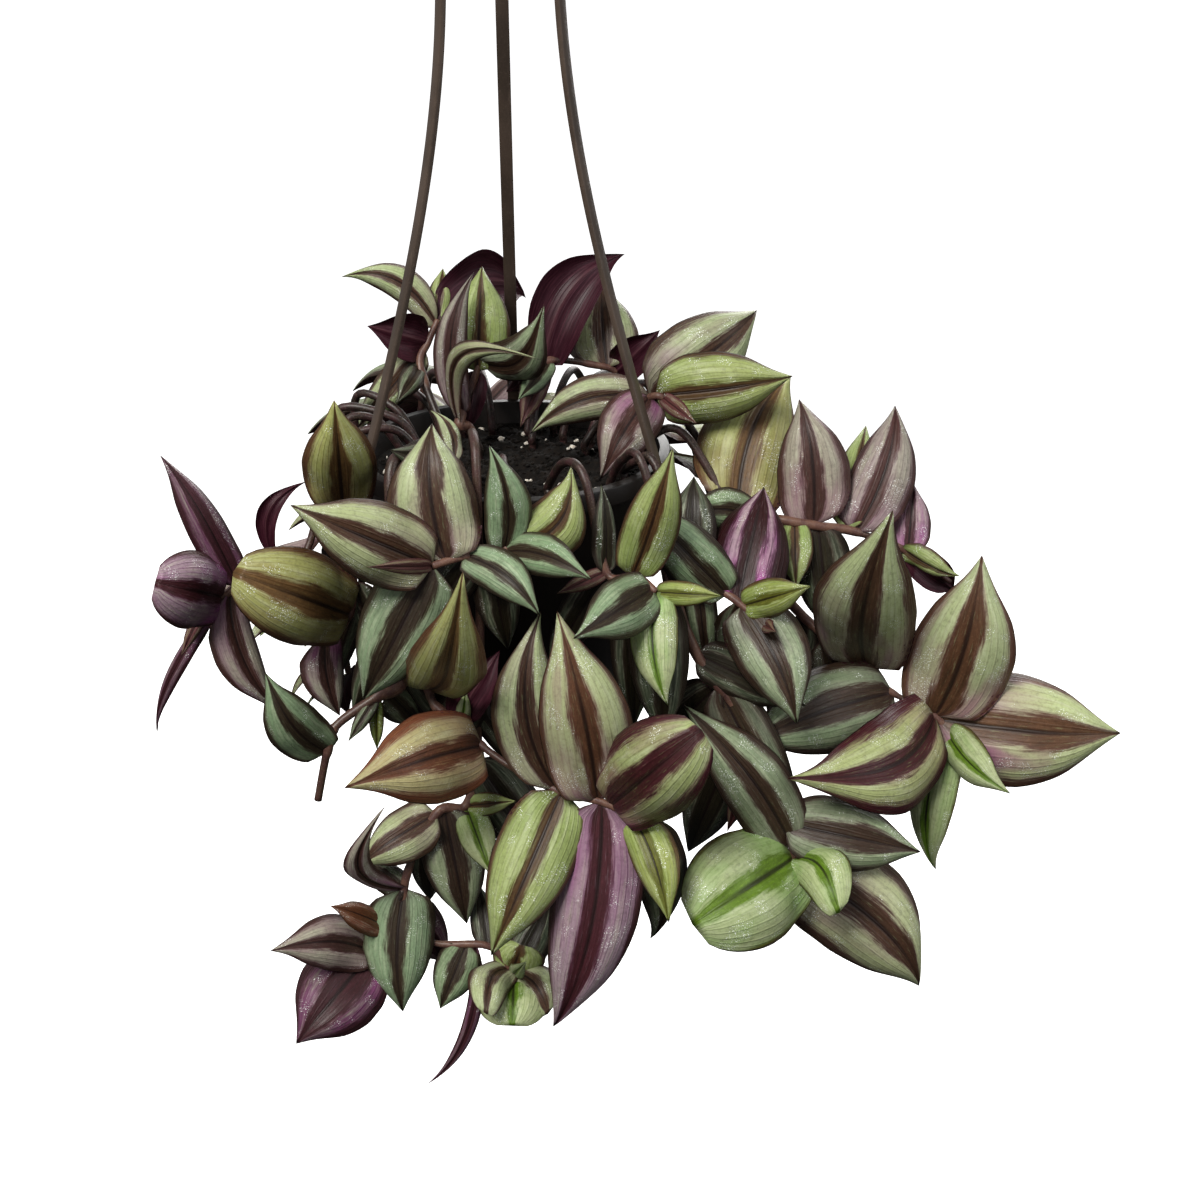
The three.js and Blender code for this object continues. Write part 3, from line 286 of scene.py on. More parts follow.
def makeLamp(lamp):
    data = bpy.data.lights.new(lamp["name"], "AREA")
    data.size = lamp["size"]
    data.energy = lamp["power"]
    data.color = lamp["colour"]
    made = linked(lamp["name"], data)
    made.location = lamp["place"]
    toPlant = Vector(studio["aim"]) - Vector(lamp["place"])
    made.rotation_euler = toPlant.to_track_quat("-Z", "Y").to_euler()


def makeFloor():
    span = studio["floorSpan"] / 2
    corners = [(-span, -span, 0), (span, -span, 0), (span, span, 0), (-span, span, 0)]
    mesh = bpy.data.meshes.new("floor")
    mesh.from_pydata(corners, [], [(0, 1, 2, 3)])
    floor = linked("floor", mesh)
    floor.location.z = studio["floorZ"]
    paint = Finish("floor_paint", Roughness=0.9, Emission_Color=white, Emission_Strength=studio["floorGlow"])
    grain = paint.speckle(paint.node("ShaderNodeNewGeometry", output="Position"), 3.0).rises(0.3, 0.7)
    pale = studio["floorColour"]
    paint.feed("Base Color", paint.mix(grain, (*pale, 1), (*[c * 0.99 for c in pale], 1)))
    mesh.materials.append(paint.material)
    floor.visible_diffuse = False  # the plant's undersides stay dark
    floor.visible_glossy = False


bpy.context.scene.view_settings.view_transform = "Standard"
makeWorld()
for lamp in lamps:
    makeLamp(lamp)
makeFloor()
print("studio set")


def leaf(baseX, baseY, tipX, tipY, back, width, tone, **more):
    return {"base": (baseX, baseY), "tip": (tipX, tipY), "back": back, "width": width, "tone": tone, **more}


# The stems that the photograph shows: x and y of the hole in the soil; x, y and height over the rim for each
# point of the rise; pixels and y for each point of the trail. A stem with a host forks off it. A leaf is its
# base and tip in pixels, how far its tip lies behind its base, its seen width in pixels, and its colouring.
tracedStems = []


def traced(name, hole, rise, trail, *leaves, **more):
    tracedStems.append({"name": name, "hole": hole, "rise": rise, "trail": trail, "leaves": leaves, **more})


traced(
    "left_tip", (-44, 4), [(-55, 0, 12), (-69, -6, 8)],
    [(306, 552, -26), (266, 556, -36), (230, 592, -44), (206, 604, -47)],
    leaf(232, 580, 160, 455, 6, 40, "purple", roll=20),
    leaf(222, 592, 155, 582, -22, 76, "mauve", arch=0.16, blunt=True),
    leaf(234, 598, 279, 711, -8, 48, "silverPurple", roll=-25, sway=0.14, arch=0.08),
    leaf(222, 598, 157, 734, 4, 17, "purple", roll=30, sway=0.02),
    leaf(206, 603, 181, 656, 0, 14, "bud", arch=0.05),
    leaf(268, 546, 308, 481, 10, 21, "maroon", under=True, arch=0.12, sway=0.25))
traced(
    "left_front", (-34, -12), [(-46, -14, 12), (-67, -20, 8)],
    [(343, 507, -40), (352, 560, -47), (350, 615, -52), (326, 637, -56)],
    leaf(352, 614, 233, 572, -34, 94, "olive", arch=0.2, blunt=True),
    leaf(341, 505, 334, 400, -16, 72, "olive"),
    leaf(326, 640, 340, 716, -6, 46, "silverPurple", roll=-20, sway=0.1, arch=0.08),
    leaf(350, 580, 392, 664, -4, 40, "dark", roll=20, arch=0.08),
    leaf(351, 600, 312, 700, 6, 42, "dull"))
traced(
    "front_left", (-4, -36), [(-3, -50, 12), (-2, -67, 8)],
    [(507, 548, -78), (465, 556, -84), (432, 566, -88)],
    leaf(432, 566, 290, 505, -14, 82, "silver", arch=0.15),
    leaf(432, 566, 366, 567, -20, 16, "bud", arch=0.08),
    leaf(432, 568, 363, 700, 8, 84, "cool", arch=0.12),
    leaf(444, 560, 432, 423, 8, 90, "silver", arch=0.14, sway=-0.06),
    leaf(499, 547, 489, 445, 8, 48, "cool", sway=0.09),
    leaf(512, 549, 571, 466, 0, 64, "green", sway=0.24),
    leaf(467, 557, 540, 616, -18, 46, "cool", arch=0.12, sway=-0.1),
    leaf(507, 556, 592, 580, -16, 44, "cool", sway=-0.08),
    leaf(490, 551, 508, 650, 8, 46, "dark", away=True),
    leaf(474, 556, 414, 632, 8, 42, "dark", away=True))
traced(
    "rosette", (-18, -32), [(-21, -48, 10), (-24, -64, 8)],
    [(446, 600, -74), (429, 690, -78), (455, 721, -84), (482, 746, -91), (520, 772, -99),
     (562, 792, -106), (602, 802, -110), (632, 816, -113)],
    leaf(438, 691, 463, 571, -34, 78, "olive", arch=0.14, sway=0.04),
    leaf(461, 726, 466, 690, -4, 16, "bright", arch=0.08),
    leaf(480, 751, 344, 788, -12, 92, "orange", arch=0.16, sway=0.02),
    leaf(596, 799, 557, 611, 6, 94, "light", arch=0.14, sway=0.02),
    leaf(556, 788, 541, 611, 20, 72, "silver", arch=0.12, sway=-0.13),
    leaf(614, 804, 702, 730, -8, 98, "wine", arch=0.16, blunt=True),
    leaf(603, 804, 553, 1027, -10, 88, "mauve", arch=0.12, sway=-0.06),
    leaf(560, 793, 491, 956, -4, 80, "green", arch=0.13),
    leaf(631, 816, 669, 923, -12, 48, "young", roll=15, sway=-0.08),
    leaf(630, 816, 650, 939, 14, 56, "dull", roll=-10, sway=-0.12, arch=0.08),
    leaf(454, 460, 430, 410, 14, 24, "silver", arch=0.12, roll=30, sway=0.15),
    leaf(456, 470, 390, 450, 10, 44, "dark", arch=0.12),
    leaf(455, 721, 500, 650, 8, 40, "maroon", under=True, away=True))
traced(
    "lower_left", (-14, -22), [(-14, -44, 20), (-12, -66, 14)],
    [(480, 640, -74), (476, 760, -76), (466, 806, -80), (436, 814, -84), (404, 889, -92), (428, 940, -95),
     (488, 946, -97), (514, 974, -99)],
    leaf(436, 812, 359, 866, -10, 55, "silver", arch=0.12, roll=15),
    leaf(444, 812, 467, 924, -6, 62, "silverDark", arch=0.12),
    leaf(466, 808, 516, 801, -10, 24, "green", arch=0.08),
    leaf(466, 808, 492, 876, -22, 36, "bright", arch=0.12),
    leaf(479, 690, 548, 778, 8, 50, "dark"),
    leaf(478, 700, 404, 782, 8, 52, "dark"),
    leaf(476, 764, 556, 872, 8, 62, "dark"),
    leaf(402, 891, 386, 805, -16, 29, "silverPurple", sway=-0.29),
    leaf(404, 889, 403, 1012, -8, 72, "cool", arch=0.12, sway=0.05),
    leaf(410, 900, 446, 962, 10, 46, "purple"),
    leaf(468, 950, 440, 1009, -4, 44, "cool", arch=0.12),
    leaf(474, 962, 426, 1085, -2, 15, "purple", arch=0.06, sway=-0.12),
    leaf(514, 978, 512, 1026, -30, 68, "bright", arch=0.16, blunt=True),
    leaf(510, 966, 486, 1014, -20, 42, "silver", arch=0.16, sway=0.16, blunt=True),
    leaf(514, 972, 522, 945, -4, 54, "green", arch=0.12, blunt=True),
    leaf(518, 966, 548, 1014, -20, 42, "silver", arch=0.16, sway=-0.16, blunt=True),
    leaf(514, 976, 527, 961, -24, 18, "bright", arch=0.08),
    leaf(488, 946, 479, 884, 14, 28, "dark", away=True),
    leaf(430, 828, 430, 900, 10, 36, "dark", away=True),
    leaf(404, 889, 362, 862, 8, 30, "dull", away=True),
    leaf(514, 974, 552, 898, 14, 42, "dark", away=True))
traced(
    "lower_tip", None, [], [(404, 889, -92), (386, 926, -96), (368, 957, -98)],
    leaf(369, 950, 270, 951, -14, 54, "silverPurple", arch=0.14, sway=0.08),
    leaf(369, 957, 296, 1044, -4, 84, "purple", arch=0.14),
    leaf(386, 926, 330, 906, -6, 30, "dried", roll=20, arch=0.08),
    host="lower_left")
traced(
    "cut_stem", (-28, -24), [(-34, -38, 10), (-44, -54, 8)],
    [(404, 610, -70), (402, 680, -73), (376, 697, -77), (336, 726, -83), (327, 752, -86), (318, 800, -88)],
    leaf(327, 752, 265, 672, -8, 54, "cool", arch=0.14, sway=-0.09),
    leaf(376, 697, 348, 742, -10, 16, "dull"),
    leaf(378, 697, 377, 750, -4, 15, "young"),
    leaf(403, 650, 466, 738, 8, 50, "dark"),
    leaf(404, 622, 352, 716, 6, 48, "dark"),
    leaf(386, 692, 418, 722, 8, 40, "dull", away=True),
    thick=2.3)
traced(
    "front_right", (14, -36), [(20, -50, 10), (27, -63, 8)],
    [(606, 572, -73), (636, 576, -79), (656, 592, -84)],
    leaf(634, 566, 673, 448, -6, 57, "green", sway=0.02),
    leaf(606, 573, 601, 484, 10, 30, "dark", roll=30, arch=0.08),
    leaf(653, 588, 573, 639, -14, 62, "cool", arch=0.12),
    leaf(656, 594, 668, 706, -26, 50, "bright", arch=0.12, roll=10, sway=0.06),
    leaf(656, 592, 722, 596, -14, 26, "young"),
    leaf(606, 573, 556, 594, -8, 18, "bud", arch=0.08),
    leaf(636, 577, 634, 728, 10, 50, "dark", away=True),
    leaf(654, 590, 664, 742, 22, 60, "dark"),
    leaf(606, 573, 548, 664, 8, 44, "dark"))
traced(
    "right_front", (44, -20), [(48, -33, 4), (54, -42, 6)],
    [(690, 560, -58), (738, 602, -70), (764, 624, -76)],
    leaf(728, 594, 656, 521, -6, 60, "cool", arch=0.12, blunt=True),
    leaf(742, 600, 764, 487, 8, 82, "magenta"),
    leaf(742, 608, 797, 724, -10, 76, "silverDark", arch=0.14, sway=-0.06),
    leaf(738, 608, 811, 586, -12, 40, "young"),
    leaf(764, 624, 776, 632, -16, 16, "bud", arch=0.08),
    leaf(700, 570, 708, 673, -14, 34, "silverDark"),
    leaf(690, 560, 694, 476, 16, 50, "dark"),
    leaf(738, 602, 734, 734, 6, 52, "dull"))
traced(
    "right_upper", (42, -6), [(54, -8, 5), (68, -9, 7)],
    [(738, 514, -26), (780, 520, -32), (818, 526, -34), (856, 532, -34), (908, 552, -34), (950, 582, -35)],
    leaf(734, 512, 791, 376, 8, 98, "olive", arch=0.12, sway=-0.1),
    leaf(815, 524, 799, 399, 10, 72, "silverPurple", arch=0.12, sway=0.05),
    leaf(858, 528, 895, 405, 10, 65, "silverPurple", arch=0.12, sway=0.07),
    leaf(846, 530, 866, 425, 24, 40, "green"),
    leaf(908, 550, 914, 484, 12, 40, "mauve"),
    leaf(900, 548, 960, 576, -14, 30, "green", roll=40),
    leaf(796, 522, 796, 590, -16, 36, "green", arch=0.12),
    leaf(820, 526, 830, 636, 8, 56, "dark"),
    leaf(758, 518, 680, 517, -10, 46, "cool", sway=0.12),
    leaf(906, 552, 954, 590, 6, 34, "maroon", under=True, away=True))
traced(
    "right_tip", (46, 12), [(56, 10, 10), (70, 6, 8)],
    [(780, 590, -20), (866, 667, -44), (888, 690, -50), (935, 716, -58), (947, 734, -61)],
    leaf(868, 668, 893, 510, -20, 102, "silver", arch=0.12, sway=-0.05),
    leaf(888, 696, 739, 746, -18, 88, "silverDark", arch=0.14, sway=0.03),
    leaf(936, 718, 787, 778, -22, 96, "wine", arch=0.14, sway=-0.14),
    leaf(937, 722, 1121, 733, -8, 110, "light", arch=0.14, sway=0.03),
    leaf(934, 714, 982, 555, 4, 99, "light", arch=0.13, sway=0.05),
    leaf(946, 732, 936, 870, -10, 48, "bright", arch=0.16, roll=25, sway=0.03),
    leaf(946, 733, 1011, 794, -26, 42, "bright", arch=0.16, roll=20),
    leaf(802, 608, 768, 716, 6, 54, "dark"),
    leaf(830, 632, 858, 760, 6, 56, "dull"))
traced(
    "right_low", (38, -32), [(42, -42, 8), (49, -56, 9)],
    [(690, 640, -74), (744, 720, -80), (774, 790, -88), (793, 852, -95), (797, 882, -97)],
    leaf(793, 858, 692, 924, -22, 114, "bright", arch=0.18, blunt=True),
    leaf(797, 870, 919, 986, -6, 101, "silver", arch=0.14, sway=-0.09),
    leaf(795, 857, 839, 913, -24, 52, "bright", arch=0.2, sway=-0.16, blunt=True),
    leaf(784, 826, 921, 852, 6, 70, "silverDark", arch=0.12),
    leaf(795, 846, 682, 704, -10, 72, "silverDark", arch=0.12, sway=0.05),
    leaf(758, 750, 727, 832, -6, 24, "bud", arch=0.08),
    leaf(716, 682, 796, 838, 2, 62, "dull", arch=0.12),
    leaf(720, 690, 632, 764, 10, 56, "dark"),
    leaf(744, 722, 688, 852, 10, 60, "dark", away=True),
    leaf(702, 658, 806, 706, 12, 50, "dark"))
traced(
    "top_right", (30, 14), [(38, 14, 6)], [(650, 397, -6), (664, 398, -9)],
    leaf(656, 399, 793, 376, -6, 72, "green", arch=0.12, roll=10),
    leaf(650, 397, 757, 310, 20, 82, "silver", arch=0.16, roll=10, away=True),
    leaf(652, 400, 600, 480, -40, 60, "silverPurple", arch=0.26, sway=0.04),
    leaf(648, 398, 530, 434, -12, 46, "silver", arch=0.14, sway=0.13),
    leaf(662, 398, 697, 424, -18, 18, "bud", arch=0.08))
traced(
    "top_back", (8, 24), [(10, 34, 8)], [(545, 362, 36), (600, 366, 42), (616, 372, 44)],
    leaf(606, 372, 602, 284, -8, 70, "silver", sway=-0.02),
    leaf(545, 360, 625, 254, 22, 58, "maroon", under=True, arch=0.12, sway=0.16, away=True),
    leaf(545, 362, 506, 392, -6, 32, "maroon", arch=0.12),
    leaf(548, 362, 518, 400, -22, 26, "cool", arch=0.04),
    leaf(545, 362, 520, 428, -36, 26, "bud", arch=0.08),
    leaf(616, 372, 660, 330, 0, 38, "maroon", under=True))
traced(
    "top_left", (-14, 10), [(-18, 12, 4)], [(459, 424, 8), (470, 392, 20), (480, 362, 30)],
    leaf(459, 424, 541, 360, -16, 26, "silver", arch=0.12, sway=-0.42),
    leaf(470, 368, 482, 266, -4, 62, "green"),
    leaf(456, 412, 474, 272, 16, 34, "silverPurple", sway=-0.12),
    leaf(500, 362, 544, 304, -30, 50, "silverDark", arch=0.12, sway=0.2),
    leaf(476, 372, 466, 436, -14, 26, "maroon", under=True))
traced(
    "back_left", (-26, 12), [(-31, 22, 6)], [(420, 366, 34), (428, 342, 40), (438, 320, 44)],
    leaf(438, 324, 341, 277, 8, 34, "silver", arch=0.12, sway=0.2),
    leaf(428, 342, 367, 326, -10, 46, "maroon", under=True),
    leaf(438, 322, 443, 268, 6, 26, "green"),
    leaf(420, 366, 396, 404, -20, 24, "dull", arch=0.14),
    leaf(424, 350, 356, 430, 4, 36, "silver", arch=0.14),
    leaf(438, 320, 526, 298, 28, 62, "maroon", under=True, sway=0.2, away=True))

# The stems of the sides and the back: angle, distance of the hole, swing, drop, reach, way to the first leaf
hiddenStems = (
    (36, 40, 9, 90, 100, 70),
    (54, 36, -6, 130, 112, 48),
    (67, 44, 5, 65, 134, 66),
    (80, 36, 14, 165, 104, 48),
    (103, 40, -8, 80, 130, 48),
    (119, 44, 10, 140, 108, 66),
    (138, 40, 5, 105, 110, 70),
    (155, 44, -6, 125, 80, 114),
    (170, 38, 4, 105, 74, 112),
    (20, 42, -9, 130, 106, 76),
)

growth = {"seed": 4711, "stemRadius": 1.7, "finePerSpan": 8, "rootDepth": 14, "rootSpans": 3,
          "leafRatio": 1.9, "longestLeaf": 72, "tiltShare": 0.8, "leafStep": 21, "freeRoot": 0.4,
          "curl": 0.35, "tipLeaf": 34, "longer": 0.45, "longestHidden": 66, "strapSteps": 60,
          "hardClash": 6, "twinClash": 0.25, "cube": 3.6, "sampleStep": 3.2, "furthestBend": 0.5,
          "bends": (0, 5, -5, 10, -10, 15, -15, 21, -21, 28, -28, 36),
          "hiddenTones": ("silver", "green", "silverDark", "silverPurple", "light", "dull")}
draws = Draws(growth["seed"])
up = (0, 0, 1)


def smooth(points, perSpan):
    line = []
    last = len(points) - 1
    for i in range(last):
        a, b, c, d = points[max(i - 1, 0)], points[i], points[i + 1], points[min(i + 2, last)]
        for k in range(perSpan):
            t = k / perSpan
            line.append(tuple(
                0.5 * (2 * b[j] + (c[j] - a[j]) * t + (2 * a[j] - 5 * b[j] + 4 * c[j] - d[j]) * t * t
                       + (3 * b[j] - a[j] - 3 * c[j] + d[j]) * t * t * t)
                for j in range(3)))
    line.append(tuple(points[-1]))
    return line


def rooted(hole):
    deep = growth["rootDepth"]
    return [(hole[0], hole[1], soilTop + z) for z in (-deep, -deep / 2, 1, 5)]


def turned(vector, axis, angle):
    c, s = math.cos(angle), math.sin(angle)
    aside = add(times(vector, c), times(cross(axis, vector), s))
    return add(aside, times(axis, dot(axis, vector) * (1 - c)))


def spun(x, y, z, degrees):  # turned round the upright axis
    c, s = math.cos(math.radians(degrees)), math.sin(math.radians(degrees))
    return (x * c - y * s, x * s + y * c, z)


def makeBlade(base, tip, facing, width, tone, more):
    axis = unit(sub(tip, base))
    rolled = turned(square(facing, axis), axis, math.radians(more.get("roll", 0)))
    under = more.get("under", False)
    return {"base": base, "tip": tip, "facing": times(rolled, -1) if under else rolled, "half": width / 2,
            "tone": tone, "arch": more.get("arch", 0.1) * (-1 if under else 1), "sway": more.get("sway", 0),
            "blunt": more.get("blunt", False), "away": more.get("away", False), "push": more.get("push")}


def tracedBlade(item, path):
    nearest = min(path, key=lambda p: math.dist(sight.project(p), item["base"]))
    flatTip = sight.seen(*item["tip"], nearest[1] + item["back"])
    seenLength = size(sub(flatTip, nearest))
    likelyLength = growth["leafRatio"] * item["width"] * sight.pixelSize(nearest)
    likelyLength = min(growth["longestLeaf"], likelyLength)
    plain = not (item.get("under") or item.get("roll") or item.get("blunt")) and item["width"] > 40
    hiddenDepth = math.sqrt(max(0, likelyLength ** 2 - seenLength ** 2)) if plain else 0
    rise = item["base"][1] - item["tip"][1]
    pointsUp = rise > 0.3 * math.hypot(item["base"][0] - item["tip"][0], rise)
    back = item["back"] + hiddenDepth * (growth["tiltShare"] if pointsUp else -growth["tiltShare"])
    tip = sight.seen(*item["tip"], nearest[1] + back)
    middle = times(add(nearest, tip), 0.5)
    toViewer = unit(sub(sight.eye, middle))
    width = item["width"] * sight.pixelSize(middle)
    push = unit(sub(tip, sight.eye))
    return makeBlade(nearest, tip, toViewer, width, item["tone"], {**item, "push": push})


def hiddenPath(angle, hole, swing, drop, reach):
    def out(r, share):
        turn = math.radians(angle + swing * share)
        return (r * math.cos(turn), r * math.sin(turn))

    rim = pot["rimRadius"]
    beyond = reach - rim
    bends = ((hole + 9, 9, 0), (rim + 8, 12, 0.1), (rim + max(11, beyond * 0.45), -drop * 0.14, 0.3),
             (rim + max(15, beyond * 0.8), -drop * 0.5, 0.6), (reach, -drop, 1))
    return rooted(out(hole, 0)) + [(*out(r, share), pot["rimZ"] + z) for r, z, share in bends]


def hiddenBlades(path, start):
    blades = []
    walked, reached = 0, start
    side = 1 if draws.next() < 0.5 else -1
    whole = 0
    for i in range(1, len(path)):
        whole += size(sub(path[i], path[i - 1]))
    between = draws.between
    for i in range(1, len(path)):
        walked += size(sub(path[i], path[i - 1]))
        atEnd = i == len(path) - 1
        if walked < reached and not atEnd:
            continue
        along = unit(sub(path[i], path[i - 1]))
        outward = unit((path[i][0], path[i][1], 0))
        across = cross(up, outward)
        long = min(growth["longestHidden"], growth["tipLeaf"] + (whole - walked) * growth["longer"])
        long *= between(0.88, 1.1)
        aside = times(across, side * between(0.75, 1))
        outwards = times(outward, between(0.45, 0.8))
        onwards = times(along, 1.3 if atEnd else between(0.1, 0.4))
        upwards = times(up, between(-0.35, 0.15))
        aim = unit(add(add(aside, outwards), add(onwards, upwards)))
        tip = add(path[i], times(aim, long))
        facing = unit(add(times(outward, between(0.35, 0.7)), times(up, 0.8)))
        tones = growth["hiddenTones"]
        tone = tones[int(draws.next() * len(tones))]
        bend = {"roll": between(-14, 14), "arch": between(0.1, 0.17), "sway": between(-0.06, 0.06)}
        blade = makeBlade(path[i], tip, facing, long * between(0.42, 0.5), tone, bend)
        blade["push"] = blade["facing"]
        blades.append(blade)
        side = -side
        reached = walked + growth["leafStep"] * between(0.9, 1.2)
    return blades


def outline(u, blunt):  # broadest at a third, with a clasping base; a blunt leaf, whose tip curls under, gets a rounded end
    if blunt:
        blade = 2 * math.sqrt(u * (1 - u))
    else:
        blade = math.pow(u, 0.6) * (1 - u) / 0.347
    return min(1, blade + 0.3 * math.pow(1 - u, 6))


def bladePoint(blade, u, v):
    run = sub(blade["tip"], blade["base"])
    long = size(run)
    side = cross(unit(run), blade["facing"])
    bulge = 4 * u * (1 - u)
    lift = blade["arch"] * long * bulge * (1 + growth["curl"] * (2 * u - 1))
    half = blade["half"] * outline(u, blade["blunt"])
    crown = 0.34 * clamp(8 * u - 1, -1, 1)
    spine = add(blade["base"], times(run, u))
    middle = add(add(spine, times(blade["facing"], lift)), times(side, blade["sway"] * long * bulge))
    return add(middle, add(times(side, v * half), times(blade["facing"], -crown * half * v * v)))


class Room:  # space already taken, in small cubes
    def __init__(self):
        self.taken = {}
        self.near = ((0, 0, 0), (1, 0, 0), (-1, 0, 0), (0, 1, 0), (0, -1, 0), (0, 0, 1), (0, 0, -1))

    def cubeOf(self, point):
        edge = growth["cube"]
        return (math.floor(point[0] / edge), math.floor(point[1] / edge), math.floor(point[2] / edge))

    def take(self, point, group, number):
        self.taken.setdefault(self.cubeOf(point), (group, number))

    def clashes(self, samples, group, number):
        count = 0
        for point, u in samples:
            if inPot(point):
                count += growth["hardClash"]
            i, j, k = self.cubeOf(point)
            for di, dj, dk in self.near:
                who = self.taken.get((i + di, j + dj, k + dk))
                if who is None:
                    continue
                twin = who[0] == group and who[1] != number and who[1] > 0 and u > growth["freeRoot"]
                if who[0] != group or twin:
                    stranger = growth["hardClash"] if who[0] == "hanger" else 1
                    count += growth["twinClash"] if who[0] == group else stranger
                    break
        return count


def inPot(point):
    margin = 2.2
    r = math.hypot(point[0], point[1])
    z = point[2] - pot["rimZ"]
    if z > margin or z < -pot["height"] - margin:
        return False
    if z > -pot["skirtDepth"] - margin and r > pot["rimRadius"] - 6:
        return r < pot["rimRadius"] + margin
    if z > -pot["soilBelowRim"] + margin + 2:
        return False
    spread = pot["rimRadius"] - 2 - pot["baseRadius"]
    return r < pot["baseRadius"] + spread * (z + pot["height"]) / pot["height"] + margin


def bladeSamples(blade):
    lengthwise = math.ceil(size(sub(blade["tip"], blade["base"])) / growth["sampleStep"])
    crosswise = math.ceil(blade["half"] / growth["sampleStep"])
    return [(bladePoint(blade, i / lengthwise, j / crosswise), i / lengthwise)
            for i in range(lengthwise + 1) for j in range(-crosswise, crosswise + 1)]


def strapPoint(share):  # radius and height: upright at the hub, spread out at the rim
    spread = (3 * share * share - share * share * share) / 2
    foot = pot["rimRadius"] + pot["gap"] + strap["thick"] / 2
    return (strap["topRadius"] + (foot - strap["topRadius"]) * spread,
            pot["rimZ"] + strap["clampAboveRim"] * (1 - share))


class Plant:
    def __init__(self):
        self.room = Room()
        self.number = 0
        self.stems = []

    def reserveStraps(self):
        steps = growth["strapSteps"]
        half = strap["wide"] / 2
        for angle in strap["angles"]:
            for i in range(steps + 1):
                r, z = strapPoint(i / steps)
                for aside in (-half, 0, half):
                    self.room.take(spun(r, aside, z, angle), "hanger", 0)

    def bendClear(self, blade, group, mayDrop):
        self.number += 1
        best, least = None, math.inf
        long = size(sub(blade["tip"], blade["base"]))
        for bend in growth["bends"]:
            if (bend < 0 and blade["away"]) or abs(bend) > growth["furthestBend"] * long:
                continue
            tip = add(blade["tip"], times(blade["push"], bend))
            axis = unit(sub(tip, blade["base"]))
            moved = {**blade, "tip": tip, "facing": square(blade["facing"], axis)}
            samples = bladeSamples(moved)
            count = self.room.clashes(samples, group, self.number)
            if count < least:
                best, least = (moved, samples), count
            if count == 0:
                break
        if mayDrop and least >= 1:
            return None
        for point, u in best[1]:
            self.room.take(point, group, self.number)
        return best[0]

    def grow(self):
        self.reserveStraps()
        rootPoints = growth["rootSpans"] * growth["finePerSpan"]
        for item in tracedStems:
            host = item.get("host")
            rise = []
            if not host:
                rise = rooted(item["hole"]) + [(x, y, pot["rimZ"] + z) for x, y, z in item["rise"]]
            self.stems.append({
                "name": item["name"], "group": host or item["name"], "traced": item["leaves"],
                "points": rise + [sight.seen(*p) for p in item["trail"]],
                "radius": item.get("thick", growth["stemRadius"]), "rootPoints": 0 if host else rootPoints})
        for number, (*course, start) in enumerate(hiddenStems, 1):
            name = f"hidden_{number}"
            self.stems.append({"name": name, "group": name, "points": hiddenPath(*course), "start": start,
                               "radius": growth["stemRadius"], "rootPoints": rootPoints})
        for stem in self.stems:
            stem["path"] = path = smooth(stem["points"], growth["finePerSpan"])
            for a, b in zip(path, path[1:]):
                for share in (0, 0.33, 0.67):
                    self.room.take(add(times(a, 1 - share), times(b, share)), stem["group"], 0)
        for stem in self.stems:
            traced = stem.get("traced")
            if traced:
                blades = [tracedBlade(item, stem["path"][stem["rootPoints"]:]) for item in traced]
            else:
                blades = hiddenBlades(stem["path"], stem["start"])
            clear = [self.bendClear(blade, stem["group"], not traced) for blade in blades]
            stem["blades"] = [blade for blade in clear if blade]
        self.stems = [stem for stem in self.stems if len(stem["blades"]) > 1]


plant = Plant()
plant.grow()
print("grown:", len(plant.stems), "stems,", sum(len(s["blades"]) for s in plant.stems), "leaves")

def smoothed(mesh, sharpFrom=None):
    mesh.shade_smooth()
    if sharpFrom:
        mesh.set_sharp_from_angle(angle=math.radians(sharpFrom))


def circle(radius, count, turn=0):
    angles = [turn + 2 * math.pi * k / count for k in range(count)]
    return [(radius * math.cos(angle), radius * math.sin(angle)) for angle in angles]


class Form:  # vertices, faces and their attributes, in millimetres
    def __init__(self):
        self.points = []
        self.faces = []
        self.slots = []
        self.values = {}

    def put(self, point, **values):
        self.points.append(point)
        for name, value in values.items():
            self.values.setdefault(name, []).append(value)
        return len(self.points) - 1

    def face(self, corners, slot=0):
        self.faces.append(tuple(corners))
        self.slots.append(slot)

    # faces from ring to ring; a pole is a ring of one point repeated
    def skin(self, rings, slot=0, inward=False, closed=True, ends=False):
        count = len(rings[0])
        for a, b in zip(rings, rings[1:]):
            for k in range(count if closed else count - 1):
                n = (k + 1) % count
                corners = (a[k], b[k], b[n], a[n]) if inward else (a[k], a[n], b[n], b[k])
                self.face(dict.fromkeys(corners), slot)
        if ends:
            self.face(rings[0][::-1], slot)
            self.face(rings[-1], slot)

    def object(self, name, materials, sharpFrom=None):
        mesh = bpy.data.meshes.new(name)
        mesh.from_pydata([times(p, mm) for p in self.points], [], self.faces)
        for material in materials:
            mesh.materials.append(material)
        mesh.polygons.foreach_set("material_index", self.slots)
        for key, values in self.values.items():
            kind = "FLOAT_COLOR" if len(values[0]) == 4 else "FLOAT_VECTOR"
            layer = mesh.attributes.new(key, kind, "POINT")
            flat = [number for value in values for number in value]
            layer.data.foreach_set("color" if kind == "FLOAT_COLOR" else "vector", flat)
        smoothed(mesh, sharpFrom)
        mesh.update()
        return linked(name, mesh)


def placed(piece, slot, *replaced):
    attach(piece, "root")
    if replaced:
        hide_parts(*replaced)


def settled(piece):  # the modifiers' result becomes the mesh
    made = bpy.data.meshes.new_from_object(piece.evaluated_get(bpy.context.evaluated_depsgraph_get()))
    piece.modifiers.clear()
    old = piece.data
    piece.data = made
    made.name = old.name
    bpy.data.meshes.remove(old)


